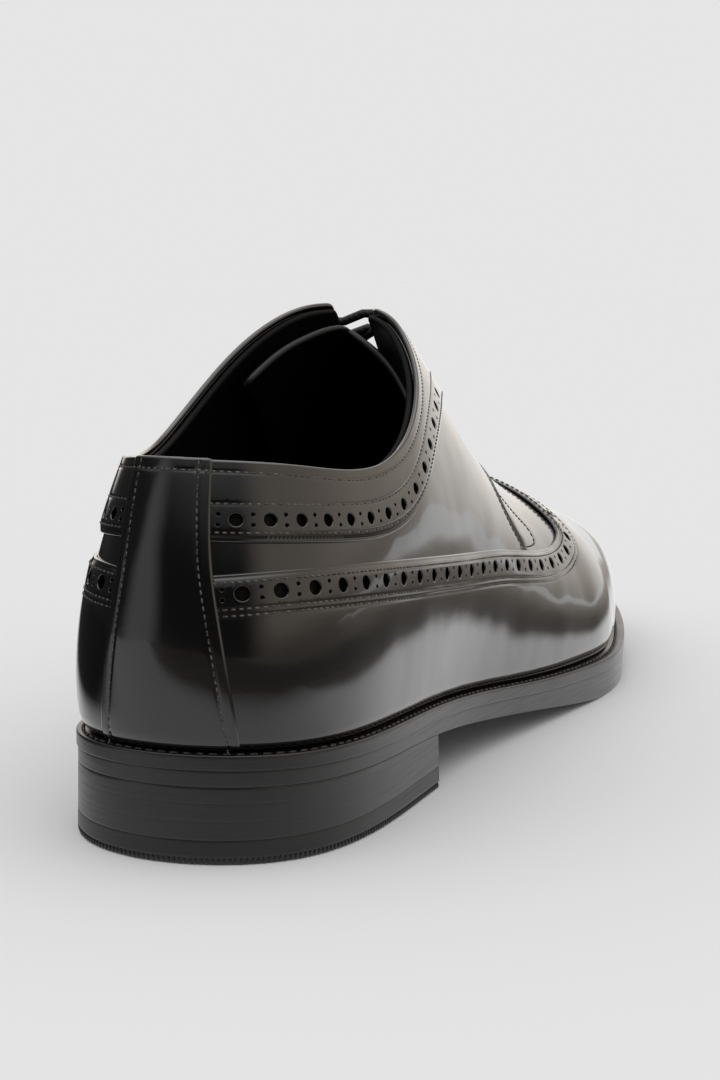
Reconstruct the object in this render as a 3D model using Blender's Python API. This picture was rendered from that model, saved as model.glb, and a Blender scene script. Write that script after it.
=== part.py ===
"""A right longwing derby brogue, standing empty on its sole: one hollow upper on a welt, outsole and heel."""

import math

import bmesh
import bpy
import numpy as np

# Driving sizes in millimetres, measured from the back of the heel; +x is the lateral side
MM = 0.001
LENGTH = 302.0
LEATHER = 2.2
PANEL_GAP = 0.4
PANEL_THICK = 1.0
JOINT = 0.25
WELT_THICK = 3.2
WELT_WIDTH = 9.5
SOLE_STEP = 0.7
HEEL_BREAST = 73.0
TOP_PIECE = 5.0
HEEL_FLARE = 0.5
INSOLE_THICK = 2.6
CREST_BACK = 34.0
CREST_FRONT = 258.0
CORNER = 124.0
THROAT = 178.0
THROAT_ROUND = 8.0
TONGUE_TOP = 121.0
TONGUE_FOOT = 196.0
TONGUE_THICK = 2.0
TONGUE_CLEAR = 1.0
TONGUE_ROUND = 10.0
TONGUE_SAG_LATERAL = 11.0
TONGUE_SAG_MEDIAL = 22.0
TONGUE_LATERAL = 27.0
TONGUE_MEDIAL = 22.0
LACE_RADIUS = 1.1
LACE_ROWS = (128.0, 139.5, 151.0, 162.5, 172.0)
EYELET_OFFSET = 11.5

# Sole plan, a row for each station: distance along, lateral edge, medial edge
PLAN = (
    (0.0, 0.5, 0.5),
    (10.0, 23.4, -23.0),
    (36.0, 32.8, -33.0),
    (72.0, 35.2, -31.0),
    (100.0, 37.5, -26.5),
    (135.0, 43.6, -26.5),
    (168.0, 50.0, -37.0),
    (190.0, 52.6, -45.5),
    (212.0, 50.7, -49.5),
    (240.0, 45.2, -47.6),
    (262.0, 38.8, -42.0),
    (281.0, 30.0, -33.6),
    (294.0, 19.0, -22.5),
    (302.0, -2.0, -2.0),
)

# Side profile: distance along, top of the welt, underside of the outsole, welt ledge left in front of the upper
PROFILE = (
    (0.0, 22.4, 15.8, 2.6),
    (36.0, 20.8, 14.4, 2.7),
    (72.0, 18.9, 12.4, 2.8),
    (105.0, 15.9, 8.8, 3.1),
    (140.0, 12.3, 4.5, 3.5),
    (168.0, 10.6, 1.0, 4.0),
    (184.0, 10.1, -0.3, 4.3),
    (203.0, 9.9, -0.5, 4.5),
    (220.0, 10.0, -0.2, 4.6),
    (245.0, 10.5, 0.9, 4.6),
    (275.0, 11.9, 2.5, 4.6),
    (302.0, 13.9, 4.6, 4.6),
)

# Crown of the last: distance along, sideways offset, height
CROWN = (
    (34.0, 0.0, 124.0),
    (80.0, 0.0, 123.5),
    (105.0, -1.0, 119.5),
    (124.0, -2.0, 109.5),
    (145.0, -3.0, 89.0),
    (165.0, -3.5, 72.5),
    (185.0, -4.0, 60.5),
    (205.0, -4.5, 53.0),
    (232.0, -4.0, 46.0),
    (258.0, -3.0, 40.5),
)

# Wall of the last: distance along, lateral and medial bulge, low pull height, lateral and medial high pull run,
# high pull height
WALL = (
    (0.0, 7.0, 7.0, 0.30, 0.46, 0.56, 0.80),
    (36.0, 8.0, 8.5, 0.32, 0.28, 0.56, 0.80),
    (72.0, 8.0, 9.0, 0.34, 0.10, 0.02, 0.78),
    (105.0, 7.5, 10.0, 0.34, 0.24, -0.21, 0.78),
    (140.0, 6.5, 10.0, 0.36, 0.40, 0.27, 0.78),
    (175.0, 5.5, 8.0, 0.42, 0.42, 0.42, 0.82),
    (205.0, 5.0, 5.0, 0.54, 0.38, 0.38, 0.92),
    (240.0, 4.5, 3.5, 0.66, 0.34, 0.34, 1.00),
    (275.0, 4.0, 3.5, 0.70, 0.32, 0.32, 1.00),
    (302.0, 3.5, 3.5, 0.72, 0.30, 0.30, 1.00),
)

# Topline: distance along, lateral height, medial height
TOPLINE = (
    (0.0, 79.8, 79.8),
    (12.0, 78.5, 78.6),
    (30.0, 75.5, 76.6),
    (48.0, 74.5, 75.4),
    (64.0, 78.0, 78.4),
    (80.0, 85.0, 86.8),
    (92.0, 91.0, 95.3),
    (102.0, 96.5, 101.3),
    (113.0, 102.0, 105.1),
    (125.0, 104.6, 105.6),
)

# Facing edge: distance along the crown, lateral gap, medial gap
FACING = (
    (100.0, 6.0, 4.6),
    (124.0, 6.0, 4.6),
    (150.0, 6.0, 5.2),
    (178.0, 7.5, 7.5),
)

# Back strap: share of the wall's height, lateral and medial edge as a turn in degrees
STRAP = (
    (0.0, 11.2, 14.8),
    (0.13, 9.4, 13.2),
    (0.25, 7.6, 12.3),
    (0.34, 6.2, 12.0),
    (0.43, 5.6, 12.8),
    (0.60, 5.6, 14.5),
)

# Wing edge: turn in degrees, share of the wall's height
WING = (
    (6.5, 0.326),
    (18.0, 0.331),
    (32.0, 0.326),
    (49.0, 0.309),
    (67.5, 0.297),
    (83.0, 0.330),
    (91.0, 0.365),
    (96.5, 0.400),
    (100.5, 0.440),
    (103.0, 0.485),
    (104.0, 0.535),
    (105.0, 0.600),
    (106.7, 0.700),
    (108.0, 0.800),
    (109.2, 0.900),
    (110.0, 1.000),
)

# Lower edge of the collar panel: turn in degrees, share of the wall's height
COLLAR = (
    (5.5, 0.389),
    (18.0, 0.384),
    (33.0, 0.371),
    (45.0, 0.364),
    (52.0, 0.382),
    (58.5, 0.439),
    (63.0, 0.500),
    (69.0, 0.573),
    (76.0, 0.650),
    (84.0, 0.735),
    (91.0, 0.828),
)

UPPER_TURNS = (
    0, 5, 10, 15, 20, 25, 30, 35, 40, 45, 50, 55, 60, 65, 70, 74.5, 78.7, 83, 87, 91, 96.5, 100.5, 103, 104, 105,
    105.8, 106.7, 108, 109.2, 110, 112.5, 115, 120, 125, 130, 135, 140, 145, 150, 155, 160, 165, 170, 175, 180,
)
WING_TURNS = (
    12.5, 15, 20, 25, 30, 35, 40, 45, 50, 55, 60, 65, 70, 74.5, 78.7, 83, 87, 91, 96.5, 100.5, 103, 104, 105,
    106.7, 108, 109.2, 110, 112.5, 115, 120, 125, 130, 135, 140, 145, 150, 155, 160, 165, 170, 175, 180,
)
COLLAR_TURNS = (6.5, 10, 15, 20, 25, 30, 35, 40, 45, 50, 55, 60, 65, 70, 74.5, 78.7, 83, 87, 91)
UPPER_ROWS = 12
WING_ROWS = 10
COLLAR_ROWS = 4
STRAP_ROWS = 12
SOLE_STATIONS = 44
HEEL_STATIONS = 18

# Colours as linear values, with roughness
BLACK_LEATHER = ((0.012, 0.011, 0.010), 0.22)
EDGE_BLACK = ((0.014, 0.014, 0.015), 0.42)
HEEL_BLACK = ((0.016, 0.016, 0.017), 0.40)
RUBBER_BLACK = ((0.018, 0.018, 0.018), 0.65)
LINING_BLACK = ((0.010, 0.010, 0.010), 0.75)
LACE_BLACK = ((0.012, 0.012, 0.012), 0.80)


def spline(knots, values, closed=False):
    """Cubic spline through the rows, natural at its ends or periodic."""
    knots = np.asarray(knots, float)
    values = np.asarray(values, float)
    count = len(knots)
    step = np.diff(knots)
    matrix = np.zeros((count, count))
    right = np.zeros(count)
    for i in range(1, count - 1):
        matrix[i, i - 1:i + 2] = step[i - 1], 2 * (step[i - 1] + step[i]), step[i]
        right[i] = 6 * ((values[i + 1] - values[i]) / step[i] - (values[i] - values[i - 1]) / step[i - 1])
    if closed:
        matrix[0, 0] = 1
        matrix[0, -1] = -1
        matrix[-1, -2] = step[-1]
        matrix[-1, 0] = 2 * (step[-1] + step[0])
        matrix[-1, 1] = step[0]
        right[-1] = 6 * ((values[1] - values[0]) / step[0] - (values[-1] - values[-2]) / step[-1])
    else:
        matrix[0, 0] = 1
        matrix[-1, -1] = 1
    bend = np.linalg.solve(matrix, right)

    def at(x):
        x = np.asarray(x, float)
        i = np.clip(np.searchsorted(knots, x, side="right") - 1, 0, count - 2)
        h = step[i]
        u = x - knots[i]
        v = h - u
        curve = (bend[i] * v ** 3 + bend[i + 1] * u ** 3) / (6 * h)
        return curve + (values[i] / h - bend[i] * h / 6) * v + (values[i + 1] / h - bend[i + 1] * h / 6) * u

    return at


def columns(table):
    """One spline for each column of a table after its first."""
    rows = np.array(table)
    return [spline(rows[:, 0], rows[:, k]) for k in range(1, rows.shape[1])]


def turn_at(along):
    """The turn around the shoe, 0 at the heel's back and pi at the toe's tip, of a distance along it."""
    return np.arccos(np.clip(1 - 2 * np.asarray(along, float) / LENGTH, -1, 1))


def plan_spline():
    rows = np.array(PLAN)
    turns = turn_at(rows[:, 0])
    around = np.concatenate([-turns[::-1], turns[1:]])
    edges = np.concatenate([rows[::-1, 2], rows[1:, 1]])
    return spline(around, edges, closed=True)


plan_edge = plan_spline()
rim_height, sole_low, ledge = columns(PROFILE)
crown_side, crown_height = columns(CROWN)
bulge_lateral, bulge_medial, pull_low, run_lateral, run_medial, pull_high = columns(WALL)
top_lateral, top_medial = columns(TOPLINE)
strap_lateral, strap_medial = columns(STRAP)


def along_of(turn):
    return LENGTH * (1 - np.cos(turn)) / 2


def wrapped(turn):
    return (np.asarray(turn, float) + math.pi) % (2 * math.pi) - math.pi


def outline(turn, inset):
    """A point of the sole's plan outline, moved in by an inset."""
    turn = np.asarray(turn, float)
    small = 1e-4
    along = along_of(turn)
    side = plan_edge(wrapped(turn))
    side_rate = (plan_edge(wrapped(turn + small)) - plan_edge(wrapped(turn - small))) / (2 * small)
    along_rate = LENGTH * np.sin(turn) / 2
    size = np.hypot(side_rate, along_rate)
    return np.stack([side - inset * along_rate / size, along + inset * side_rate / size], -1)


def crown_of(turn):
    """The crown point that a section at this turn rises to."""
    along = CREST_BACK + (CREST_FRONT - CREST_BACK) * along_of(turn) / LENGTH
    return np.stack([crown_side(along), along, crown_height(along)], -1)


def last_point(turn, share):
    """A point of the upper's outside: share 0 at the welt, 1 at the crown."""
    turn, share = np.broadcast_arrays(np.asarray(turn, float), np.asarray(share, float))
    along = along_of(turn)
    foot = np.concatenate([outline(turn, ledge(along)), (rim_height(along) + JOINT)[..., None]], -1)
    crown = crown_of(turn)
    weight = 0.5 + 0.5 * np.sin(turn)
    bulge = bulge_lateral(along) * weight + bulge_medial(along) * (1 - weight)
    run = crown[..., :2] - foot[..., :2]
    heading = run / np.linalg.norm(run, axis=-1)[..., None]
    rise = crown[..., 2] - foot[..., 2]
    high = pull_high(along)
    slope = (crown_height(crown[..., 1] + 0.5) - crown_height(crown[..., 1] - 0.5)) * np.clip((high - 0.9) / 0.1, 0, 1)
    low_pull = np.concatenate([foot[..., :2] - heading * bulge[..., None],
                               (foot[..., 2] + pull_low(along) * rise)[..., None]], -1)
    run_high = run_lateral(along) * weight + run_medial(along) * (1 - weight)
    flat = foot[..., :2] + run * run_high[..., None]
    lift = foot[..., 2] + high * rise + slope * (flat[..., 1] - crown[..., 1])
    high_pull = np.concatenate([flat, lift[..., None]], -1)
    t = share[..., None]
    return (1 - t) ** 3 * foot + 3 * t * (1 - t) ** 2 * low_pull + 3 * t * t * (1 - t) * high_pull + t ** 3 * crown


def last_normal(turn, share):
    """The outward normal of the upper's outside."""
    small = 1e-3
    inner = np.clip(np.asarray(share, float), small, 1 - 2 * small)
    near_toe = np.clip(np.asarray(turn, float), -math.pi + 0.02, math.pi - 0.02)
    spot = np.where(inner > 0.9, near_toe, turn)
    around = last_point(spot + small, inner) - last_point(spot - small, inner)
    upward = last_point(spot, inner + small) - last_point(spot, inner - small)
    normal = np.cross(around, upward)
    return normal / np.linalg.norm(normal, axis=-1)[..., None]


def crown_gap(crown_along, lateral):
    """Half the throat's opening, rounded to nothing at its foot."""
    rows = np.array(FACING)
    gap = np.interp(crown_along, rows[:, 0], rows[:, 1 if lateral else 2])
    into_round = np.clip((crown_along - (THROAT - THROAT_ROUND)) / THROAT_ROUND, 0, 1)
    return gap * math.sqrt(1 - into_round ** 2)


def share_at_reach(points, shares, wanted):
    """The share where a section, past its widest, comes within a wanted reach of the crown in plan."""
    reach = np.linalg.norm(points[:, :2] - points[-1, :2], axis=1)
    widest = int(np.argmax(reach))
    return float(np.interp(-wanted, -reach[widest:], shares[widest:]))


def trim_share(turn):
    """Where the upper's wall ends on a section: at the topline, at the facing's edge or at the crown."""
    lateral = turn >= 0
    shares = np.linspace(0, 1, 801)
    points = last_point(np.full(801, turn), shares)
    crown = points[-1]
    end = 1.0
    if crown[1] < CORNER + 6:
        line = (top_lateral if lateral else top_medial)(np.clip(points[:, 1], 0, 125))
        over = points[:, 2] - line
        past = int(np.argmax(over > 0))
        if past:
            part = over[past - 1] / (over[past - 1] - over[past])
            end = shares[past - 1] + part * (shares[past] - shares[past - 1])
    if CORNER - 14 < crown[1] < THROAT:
        gap = crown_gap(crown[1], lateral)
        end = min(end, share_at_reach(points, shares, gap))
    return end


def offset_point(turn, share, out):
    """A point moved out from the upper's outside, or in when out is negative."""
    return last_point(turn, share) + last_normal(turn, share) * out


# The frame: the middle of the sole's plan box is the origin
dense = outline(np.linspace(-math.pi, math.pi, 1441), 0.0)
MIDDLE = np.array([(dense[:, 0].max() + dense[:, 0].min()) / 2, LENGTH / 2, 0.0])

for old in list(bpy.data.objects):
    bpy.data.objects.remove(old)
shoe = bpy.data.collections.new("brogue")
bpy.context.scene.collection.children.link(shoe)
cutters = bpy.data.collections.new("cutters")
bpy.context.scene.collection.children.link(cutters)


def material(name, look, metallic=0.0):
    made = bpy.data.materials.new(name)
    made.use_nodes = True
    shader = made.node_tree.nodes["Principled BSDF"]
    shader.inputs["Base Color"].default_value = (*look[0], 1.0)
    shader.inputs["Roughness"].default_value = look[1]
    shader.inputs["Metallic"].default_value = metallic
    return made


def solid(name, points, faces, look):
    """A closed mesh object from points in millimetres."""
    mesh = bpy.data.meshes.new(name)
    placed = (np.asarray(points, float) - MIDDLE) * MM
    mesh.from_pydata([tuple(p) for p in placed], [], faces)
    work = bmesh.new()
    work.from_mesh(mesh)
    bmesh.ops.remove_doubles(work, verts=work.verts, dist=0.000005)
    bmesh.ops.dissolve_degenerate(work, edges=work.edges, dist=0.000005)
    bmesh.ops.recalc_face_normals(work, faces=work.faces)
    work.to_mesh(mesh)
    work.free()
    made = bpy.data.objects.new(name, mesh)
    shoe.objects.link(made)
    mesh.materials.append(material(name + " finish", look))
    return made


def shell(outer, inner, loops):
    """Faces of a closed skin from an outer sheet, the same sheet inside, and the sheet's open edges."""
    count = len(outer)
    faces = []
    sheet, edges = loops
    for face in sheet:
        faces.append(tuple(face))
        faces.append(tuple(i + count for i in reversed(face)))
    for a, b in edges:
        faces.append((a, b, b + count, a + count))
    return np.concatenate([outer, inner]), faces


def sheet_faces(index):
    """Quads of a grid of point numbers, and the edges that only one of them uses."""
    faces = []
    for i in range(index.shape[0] - 1):
        for j in range(index.shape[1] - 1):
            ring = [index[i, j], index[i + 1, j], index[i + 1, j + 1], index[i, j + 1]]
            kept = [int(v) for k, v in enumerate(ring) if v != ring[k - 1]]
            if len(kept) > 2:
                faces.append(kept)
    used = {}
    for face in faces:
        for a, b in zip(face, face[1:] + face[:1]):
            used[(a, b)] = used.get((a, b), 0) + 1
    edges = [(b, a) for (a, b) in used if (b, a) not in used]
    return faces, edges


def upper_sheet(one_side, rows, low_share, high_share):
    """A sheet over both sides of the last; sections that reach the crown share their top point."""
    side = np.radians(np.asarray(one_side, float))
    turns = np.concatenate([-side[::-1], side[1:] if side[0] == 0 else side])
    numbers = {}
    points = []
    index = np.zeros((len(turns), rows + 1), int)
    for i, turn in enumerate(turns):
        low = low_share(turn)
        high = high_share(turn)
        for j in range(rows + 1):
            share = low + (high - low) * j / rows
            folded = abs(turn) if share > 1 - 1e-9 else turn
            folded = abs(turn) if abs(abs(turn) - math.pi) < 1e-9 else folded
            key = (round(float(folded), 6), j)
            if key not in numbers:
                numbers[key] = len(points)
                points.append((folded, share))
            index[i, j] = numbers[key]
    return np.array(points), index


def shell_of(name, points, index, near, far, look):
    """A closed skin between two offsets of a sheet of the last."""
    turn = points[:, 0]
    share = points[:, 1]
    outer = offset_point(turn, share, far)
    inner = offset_point(turn, share, near)
    return solid(name, *shell(outer, inner, sheet_faces(index)), look)


# Upper: one hollow wall, open at the collar, the throat and underneath
upper_points, upper_index = upper_sheet(UPPER_TURNS, UPPER_ROWS, lambda turn: 0.0, trim_share)
shell_of("upper", upper_points, upper_index, -LEATHER, 0.0, BLACK_LEATHER)

# Wing tip: one panel from the back strap round the toe, over the upper
wing_rows = np.array(WING)


def wing_high(turn):
    return float(np.interp(math.degrees(abs(turn)), wing_rows[:, 0], wing_rows[:, 1]))


def from_strap(turn, first, share):
    """A section's turn, drawn back to the strap's edge over the first 60 degrees."""
    edge = strap_lateral(share) if turn > 0 else strap_medial(share)
    start = math.radians(float(edge) + 0.5)
    limit = math.radians(60)
    if abs(turn) >= limit:
        return turn
    return math.copysign(start + (abs(turn) - first) * (limit - start) / (limit - first), turn)


wing_side = np.radians(np.asarray(WING_TURNS, float))
wing_around = np.concatenate([wing_side, (2 * math.pi - wing_side[::-1])[1:]])
wing_points = []
wing_numbers = {}
wing_index = np.zeros((len(wing_around), WING_ROWS + 1), int)
for i, turn in enumerate(wing_around):
    facing = float(wrapped(turn)) if turn > math.pi + 1e-9 else float(turn)
    high = wing_high(facing)
    for j in range(WING_ROWS + 1):
        share = 0.012 + (high - 0.012) * j / WING_ROWS
        placed = from_strap(facing, wing_side[0], share)
        folded = abs(facing) if share > 1 - 1e-9 else placed
        key = (round(folded, 6), j)
        if key not in wing_numbers:
            wing_numbers[key] = len(wing_points)
            wing_points.append((folded, share))
        wing_index[i, j] = wing_numbers[key]
shell_of("wing_tip", np.array(wing_points), wing_index, PANEL_GAP, PANEL_GAP + PANEL_THICK, BLACK_LEATHER)

# Collar panels: from the back strap along the topline to the facing, one a side
collar_rows = np.array(COLLAR)


def collar_panel(name, sign):
    points = []
    index = np.zeros((len(COLLAR_TURNS), COLLAR_ROWS + 1), int)
    for i, degrees in enumerate(COLLAR_TURNS):
        turn = sign * math.radians(degrees)
        high = trim_share(turn) - 0.012
        low = float(np.interp(degrees, collar_rows[:, 0], collar_rows[:, 1]))
        for j in range(COLLAR_ROWS + 1):
            share = low + (high - low) * j / COLLAR_ROWS
            index[i, j] = len(points)
            points.append((from_strap(turn, math.radians(COLLAR_TURNS[0]), share), share))
    shell_of(name, np.array(points), index, PANEL_GAP, PANEL_GAP + PANEL_THICK, BLACK_LEATHER)


collar_panel("collar_panel_lateral", 1)
collar_panel("collar_panel_medial", -1)

# Back strap: a tapered strip up the middle of the heel
strap_points = []
strap_index = np.zeros((7, STRAP_ROWS + 1), int)
strap_top = trim_share(0.0) - 0.012
for i in range(7):
    for j in range(STRAP_ROWS + 1):
        share = 0.012 + (strap_top - 0.012) * j / STRAP_ROWS
        half = math.radians(float(strap_medial(share) if i < 3 else strap_lateral(share)))
        strap_index[i, j] = len(strap_points)
        strap_points.append((half * (i / 3 - 1), share))
shell_of("back_strap", np.array(strap_points), strap_index, PANEL_GAP, PANEL_GAP + PANEL_THICK, BLACK_LEATHER)


def ring_solid(name, turns, corners, look):
    """A closed ring swept round the shoe: corners give inset and height at a turn."""
    points = []
    faces = []
    size = len(corners(0.0))
    for turn in turns:
        for inset, height in corners(float(turn)):
            points.append((*outline(turn, inset), height))
    for i in range(len(turns)):
        k = (i + 1) % len(turns)
        for j in range(size):
            m = (j + 1) % size
            faces.append((i * size + j, k * size + j, k * size + m, i * size + m))
    return solid(name, points, faces, look)


def plate_solid(name, stations, corners, look):
    """A closed plate laid across the shoe: corners give inset and height pairs from below to above at a station."""
    points = []
    faces = []
    size = len(corners(float(stations[0])))
    for along in stations:
        turn = float(turn_at(along))
        for inset, height in corners(float(along)):
            lateral = outline(turn, inset)
            medial = outline(-turn, inset)
            points.append((*lateral, height))
            points.append((*medial, height))
    step = 2 * size
    last = len(stations) - 1
    for i in range(last):
        a = i * step
        b = a + step
        faces.append((a, a + 1, b + 1, b))
        top = step - 2
        faces.append((a + top, b + top, b + top + 1, a + top + 1))
        for j in range(size - 1):
            low = 2 * j
            faces.append((a + low, b + low, b + low + 2, a + low + 2))
            faces.append((a + low + 1, a + low + 3, b + low + 3, b + low + 1))
    for i in (0, last):
        a = i * step
        for j in range(size - 1):
            low = 2 * j
            faces.append((a + low, a + low + 2, a + low + 3, a + low + 1))
    return solid(name, points, faces, look)


def stations(end, count):
    """Distances along the shoe, closer together at rounded ends."""
    limit = float(turn_at(end))
    return along_of(np.linspace(0.02, limit, count))


def low_edge(along):
    return max(0.0, float(sole_low(along)))


# Welt: a strip all round the upper's foot
WELT_TURNS = np.radians(np.arange(0, 360, 5.0))
ring_solid("welt", WELT_TURNS, lambda turn: [
    (0.0, float(rim_height(along_of(turn))) - WELT_THICK),
    (0.0, float(rim_height(along_of(turn))) - 0.6),
    (0.6, float(rim_height(along_of(turn)))),
    (WELT_WIDTH, float(rim_height(along_of(turn)))),
    (WELT_WIDTH, float(rim_height(along_of(turn))) - WELT_THICK),
], EDGE_BLACK)

# Outsole: true outline, arch and toe spring, with a step in under the welt and a rounded lower edge
full = np.concatenate([stations(LENGTH / 2, SOLE_STATIONS // 2)[:-1],
                       LENGTH - stations(LENGTH / 2, SOLE_STATIONS // 2)[::-1]])
plate_solid("outsole", full, lambda along: [
    (SOLE_STEP + 0.8, low_edge(along)),
    (SOLE_STEP, low_edge(along) + 0.8),
    (SOLE_STEP, float(rim_height(along)) - WELT_THICK - JOINT),
], EDGE_BLACK)

# Heel: a stack under the outsole and a rubber top piece on the floor
heel_along = stations(HEEL_BREAST, HEEL_STATIONS)
plate_solid("heel_stack", heel_along, lambda along: [
    (SOLE_STEP - HEEL_FLARE * 0.7, TOP_PIECE),
    (SOLE_STEP, float(sole_low(along)) - JOINT),
], HEEL_BLACK)
plate_solid("heel_top_piece", heel_along, lambda along: [
    (SOLE_STEP - HEEL_FLARE + 0.5, 0.0),
    (SOLE_STEP - HEEL_FLARE, 0.6),
    (SOLE_STEP - HEEL_FLARE * 0.7, TOP_PIECE - JOINT),
], RUBBER_BLACK)

# Insole: a plate inside the upper's foot
insole_full = np.concatenate([along_of(np.linspace(0.03, math.pi / 2, 20))[:-1],
                              LENGTH - along_of(np.linspace(0.03, math.pi / 2, 20))[::-1]])
plate_solid("insole", insole_full, lambda along: [
    (float(ledge(along)) + LEATHER + 0.8, float(rim_height(along)) + JOINT),
    (float(ledge(along)) + LEATHER + 0.5, float(rim_height(along)) + JOINT + INSOLE_THICK),
], LINING_BLACK)


def crown_turn(crown_along):
    share = (crown_along - CREST_BACK) / (CREST_FRONT - CREST_BACK)
    return float(np.arccos(1 - 2 * share))


def over_throat(crown_along, across, reach_wanted, out):
    """A point by its distance across from the crown line, at the height the wall has at the wanted reach."""
    turn = crown_turn(crown_along) * (1 if across >= 0 else -1)
    shares = np.linspace(0, 1, 401)
    line = last_point(np.full(401, turn), shares)
    share = share_at_reach(line, shares, reach_wanted)
    share_here = share_at_reach(line, shares, abs(across))
    flat = last_point(turn, share_here)
    deep = last_point(turn, share)
    normal = last_normal(turn, min(share, 0.97))
    return np.array([flat[0], flat[1], deep[2]]) + normal * out


def level_reach(crown_along, reach):
    """The medial reach where the wall is as high as the lateral wall is at a reach."""
    turn = crown_turn(crown_along)
    shares = np.linspace(0, 1, 401)
    line = last_point(np.full(401, turn), shares)
    height = last_point(turn, share_at_reach(line, shares, reach))[2]
    other = last_point(np.full(401, -turn), shares)
    past = int(np.argmax(other[:, 2] > height))
    return float(np.linalg.norm(other[past, :2] - other[-1, :2]))


def tongue_spot(part, across, lateral):
    """A point of the tongue's upper face: part 0 at its rim, 1 at its foot."""
    crown_along = TONGUE_TOP + (TONGUE_FOOT - TONGUE_TOP) * part
    if lateral:
        sag = TONGUE_SAG_LATERAL * (across / TONGUE_LATERAL) ** 2
    else:
        sag = TONGUE_SAG_MEDIAL * (-across / TONGUE_MEDIAL) ** 1.2
    along = crown_along - sag * (1 - part) ** 2
    rounded = TONGUE_ROUND if lateral else level_reach(along, TONGUE_ROUND)
    narrow = across * (1.0 - 0.18 * part)
    return over_throat(along, narrow, math.hypot(narrow, rounded), -LEATHER - TONGUE_CLEAR)


# Tongue: a curved tab under the throat, its foot tucked under the vamp
TONGUE_LINES = 14
TONGUE_ACROSS = (-22.0, -16.5, -11.0, -5.5, 0.0, 7.0, 13.0, 20.0, 27.0)
tongue_top = []
for i in range(TONGUE_LINES):
    part = i / (TONGUE_LINES - 1)
    for across in TONGUE_ACROSS:
        centre = tongue_spot(part, across, across >= 0)
        if across == 0.0:
            centre = (centre + tongue_spot(part, -0.001, False)) / 2
        tongue_top.append(centre)
tongue_top = np.array(tongue_top).reshape(TONGUE_LINES, len(TONGUE_ACROSS), 3)
lines = np.gradient(tongue_top, axis=0)
across_lines = np.gradient(tongue_top, axis=1)
tongue_normal = np.cross(across_lines, lines)
tongue_normal = tongue_normal / np.linalg.norm(tongue_normal, axis=-1)[..., None]
tongue_normal = tongue_normal * np.sign(tongue_normal[..., 2:3])
tongue_low = tongue_top - tongue_normal * TONGUE_THICK
tongue_index = np.arange(TONGUE_LINES * len(TONGUE_ACROSS)).reshape(TONGUE_LINES, len(TONGUE_ACROSS))
solid("tongue", *shell(tongue_top.reshape(-1, 3), tongue_low.reshape(-1, 3), sheet_faces(tongue_index)), BLACK_LEATHER)


# Lace: crossings between the facings joined with a bar at the top and one at the foot
def strand(start_row, end_row, start_side):
    points = []
    for k in range(7):
        part = k / 6
        across = start_side * EYELET_OFFSET * (1 - 2 * part)
        row = start_row + (end_row - start_row) * part
        level = max(abs(across), 4.4)
        points.append(over_throat(row, across, level, PANEL_GAP + PANEL_THICK + LACE_RADIUS + 0.45))
    curve = bpy.data.curves.new("strand", "CURVE")
    curve.dimensions = "3D"
    line = curve.splines.new("POLY")
    line.points.add(len(points) - 1)
    for spot, place in zip(line.points, points):
        spot.co = (*((place - MIDDLE) * MM), 1.0)
    curve.bevel_depth = LACE_RADIUS * MM
    curve.bevel_resolution = 0
    curve.use_fill_caps = True
    holder = bpy.data.objects.new("strand", curve)
    cutters.objects.link(holder)
    bpy.context.view_layer.update()
    mesh = bpy.data.meshes.new_from_object(holder.evaluated_get(bpy.context.evaluated_depsgraph_get()))
    bpy.data.objects.remove(holder)
    return mesh


strands = [strand(LACE_ROWS[0], LACE_ROWS[0], 1), strand(LACE_ROWS[-1], LACE_ROWS[-1], 1)]
for first, second in zip(LACE_ROWS[:-1], LACE_ROWS[1:]):
    strands.append(strand(first, second, 1))
    strands.append(strand(first, second, -1))
lace = bpy.data.objects.new("lace", strands[0])
shoe.objects.link(lace)
lace.data.materials.append(material("lace finish", LACE_BLACK))
for number, mesh in enumerate(strands[1:]):
    tool = bpy.data.objects.new("lace strand %d" % (number + 1), mesh)
    cutters.objects.link(tool)
    tool.hide_render = True
    tool.display_type = "WIRE"
    joined = lace.modifiers.new("join %d" % (number + 1), "BOOLEAN")
    joined.operation = "UNION"
    joined.solver = "EXACT"
    joined.object = tool
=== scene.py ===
# %% [markdown]
# # A black longwing derby brogue
# A dress shoe like this one is sewn from flat leather panels, pulled over a foot-shaped form called the
# last, and then closed by a welt, a sole and a heel. The lesson rebuilds it in that order. Every panel is
# cut from one function that describes the last, so pieces that lie on each other on the real shoe do so
# here too. The imported frame comes first: it is measured, and the solids that the shoe replaces are hidden.

# %% Load the frame
import math

import bmesh
import bpy
import numpy as np
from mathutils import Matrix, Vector
from mathutils.geometry import delaunay_2d_cdt
from mathutils.kdtree import KDTree


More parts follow.
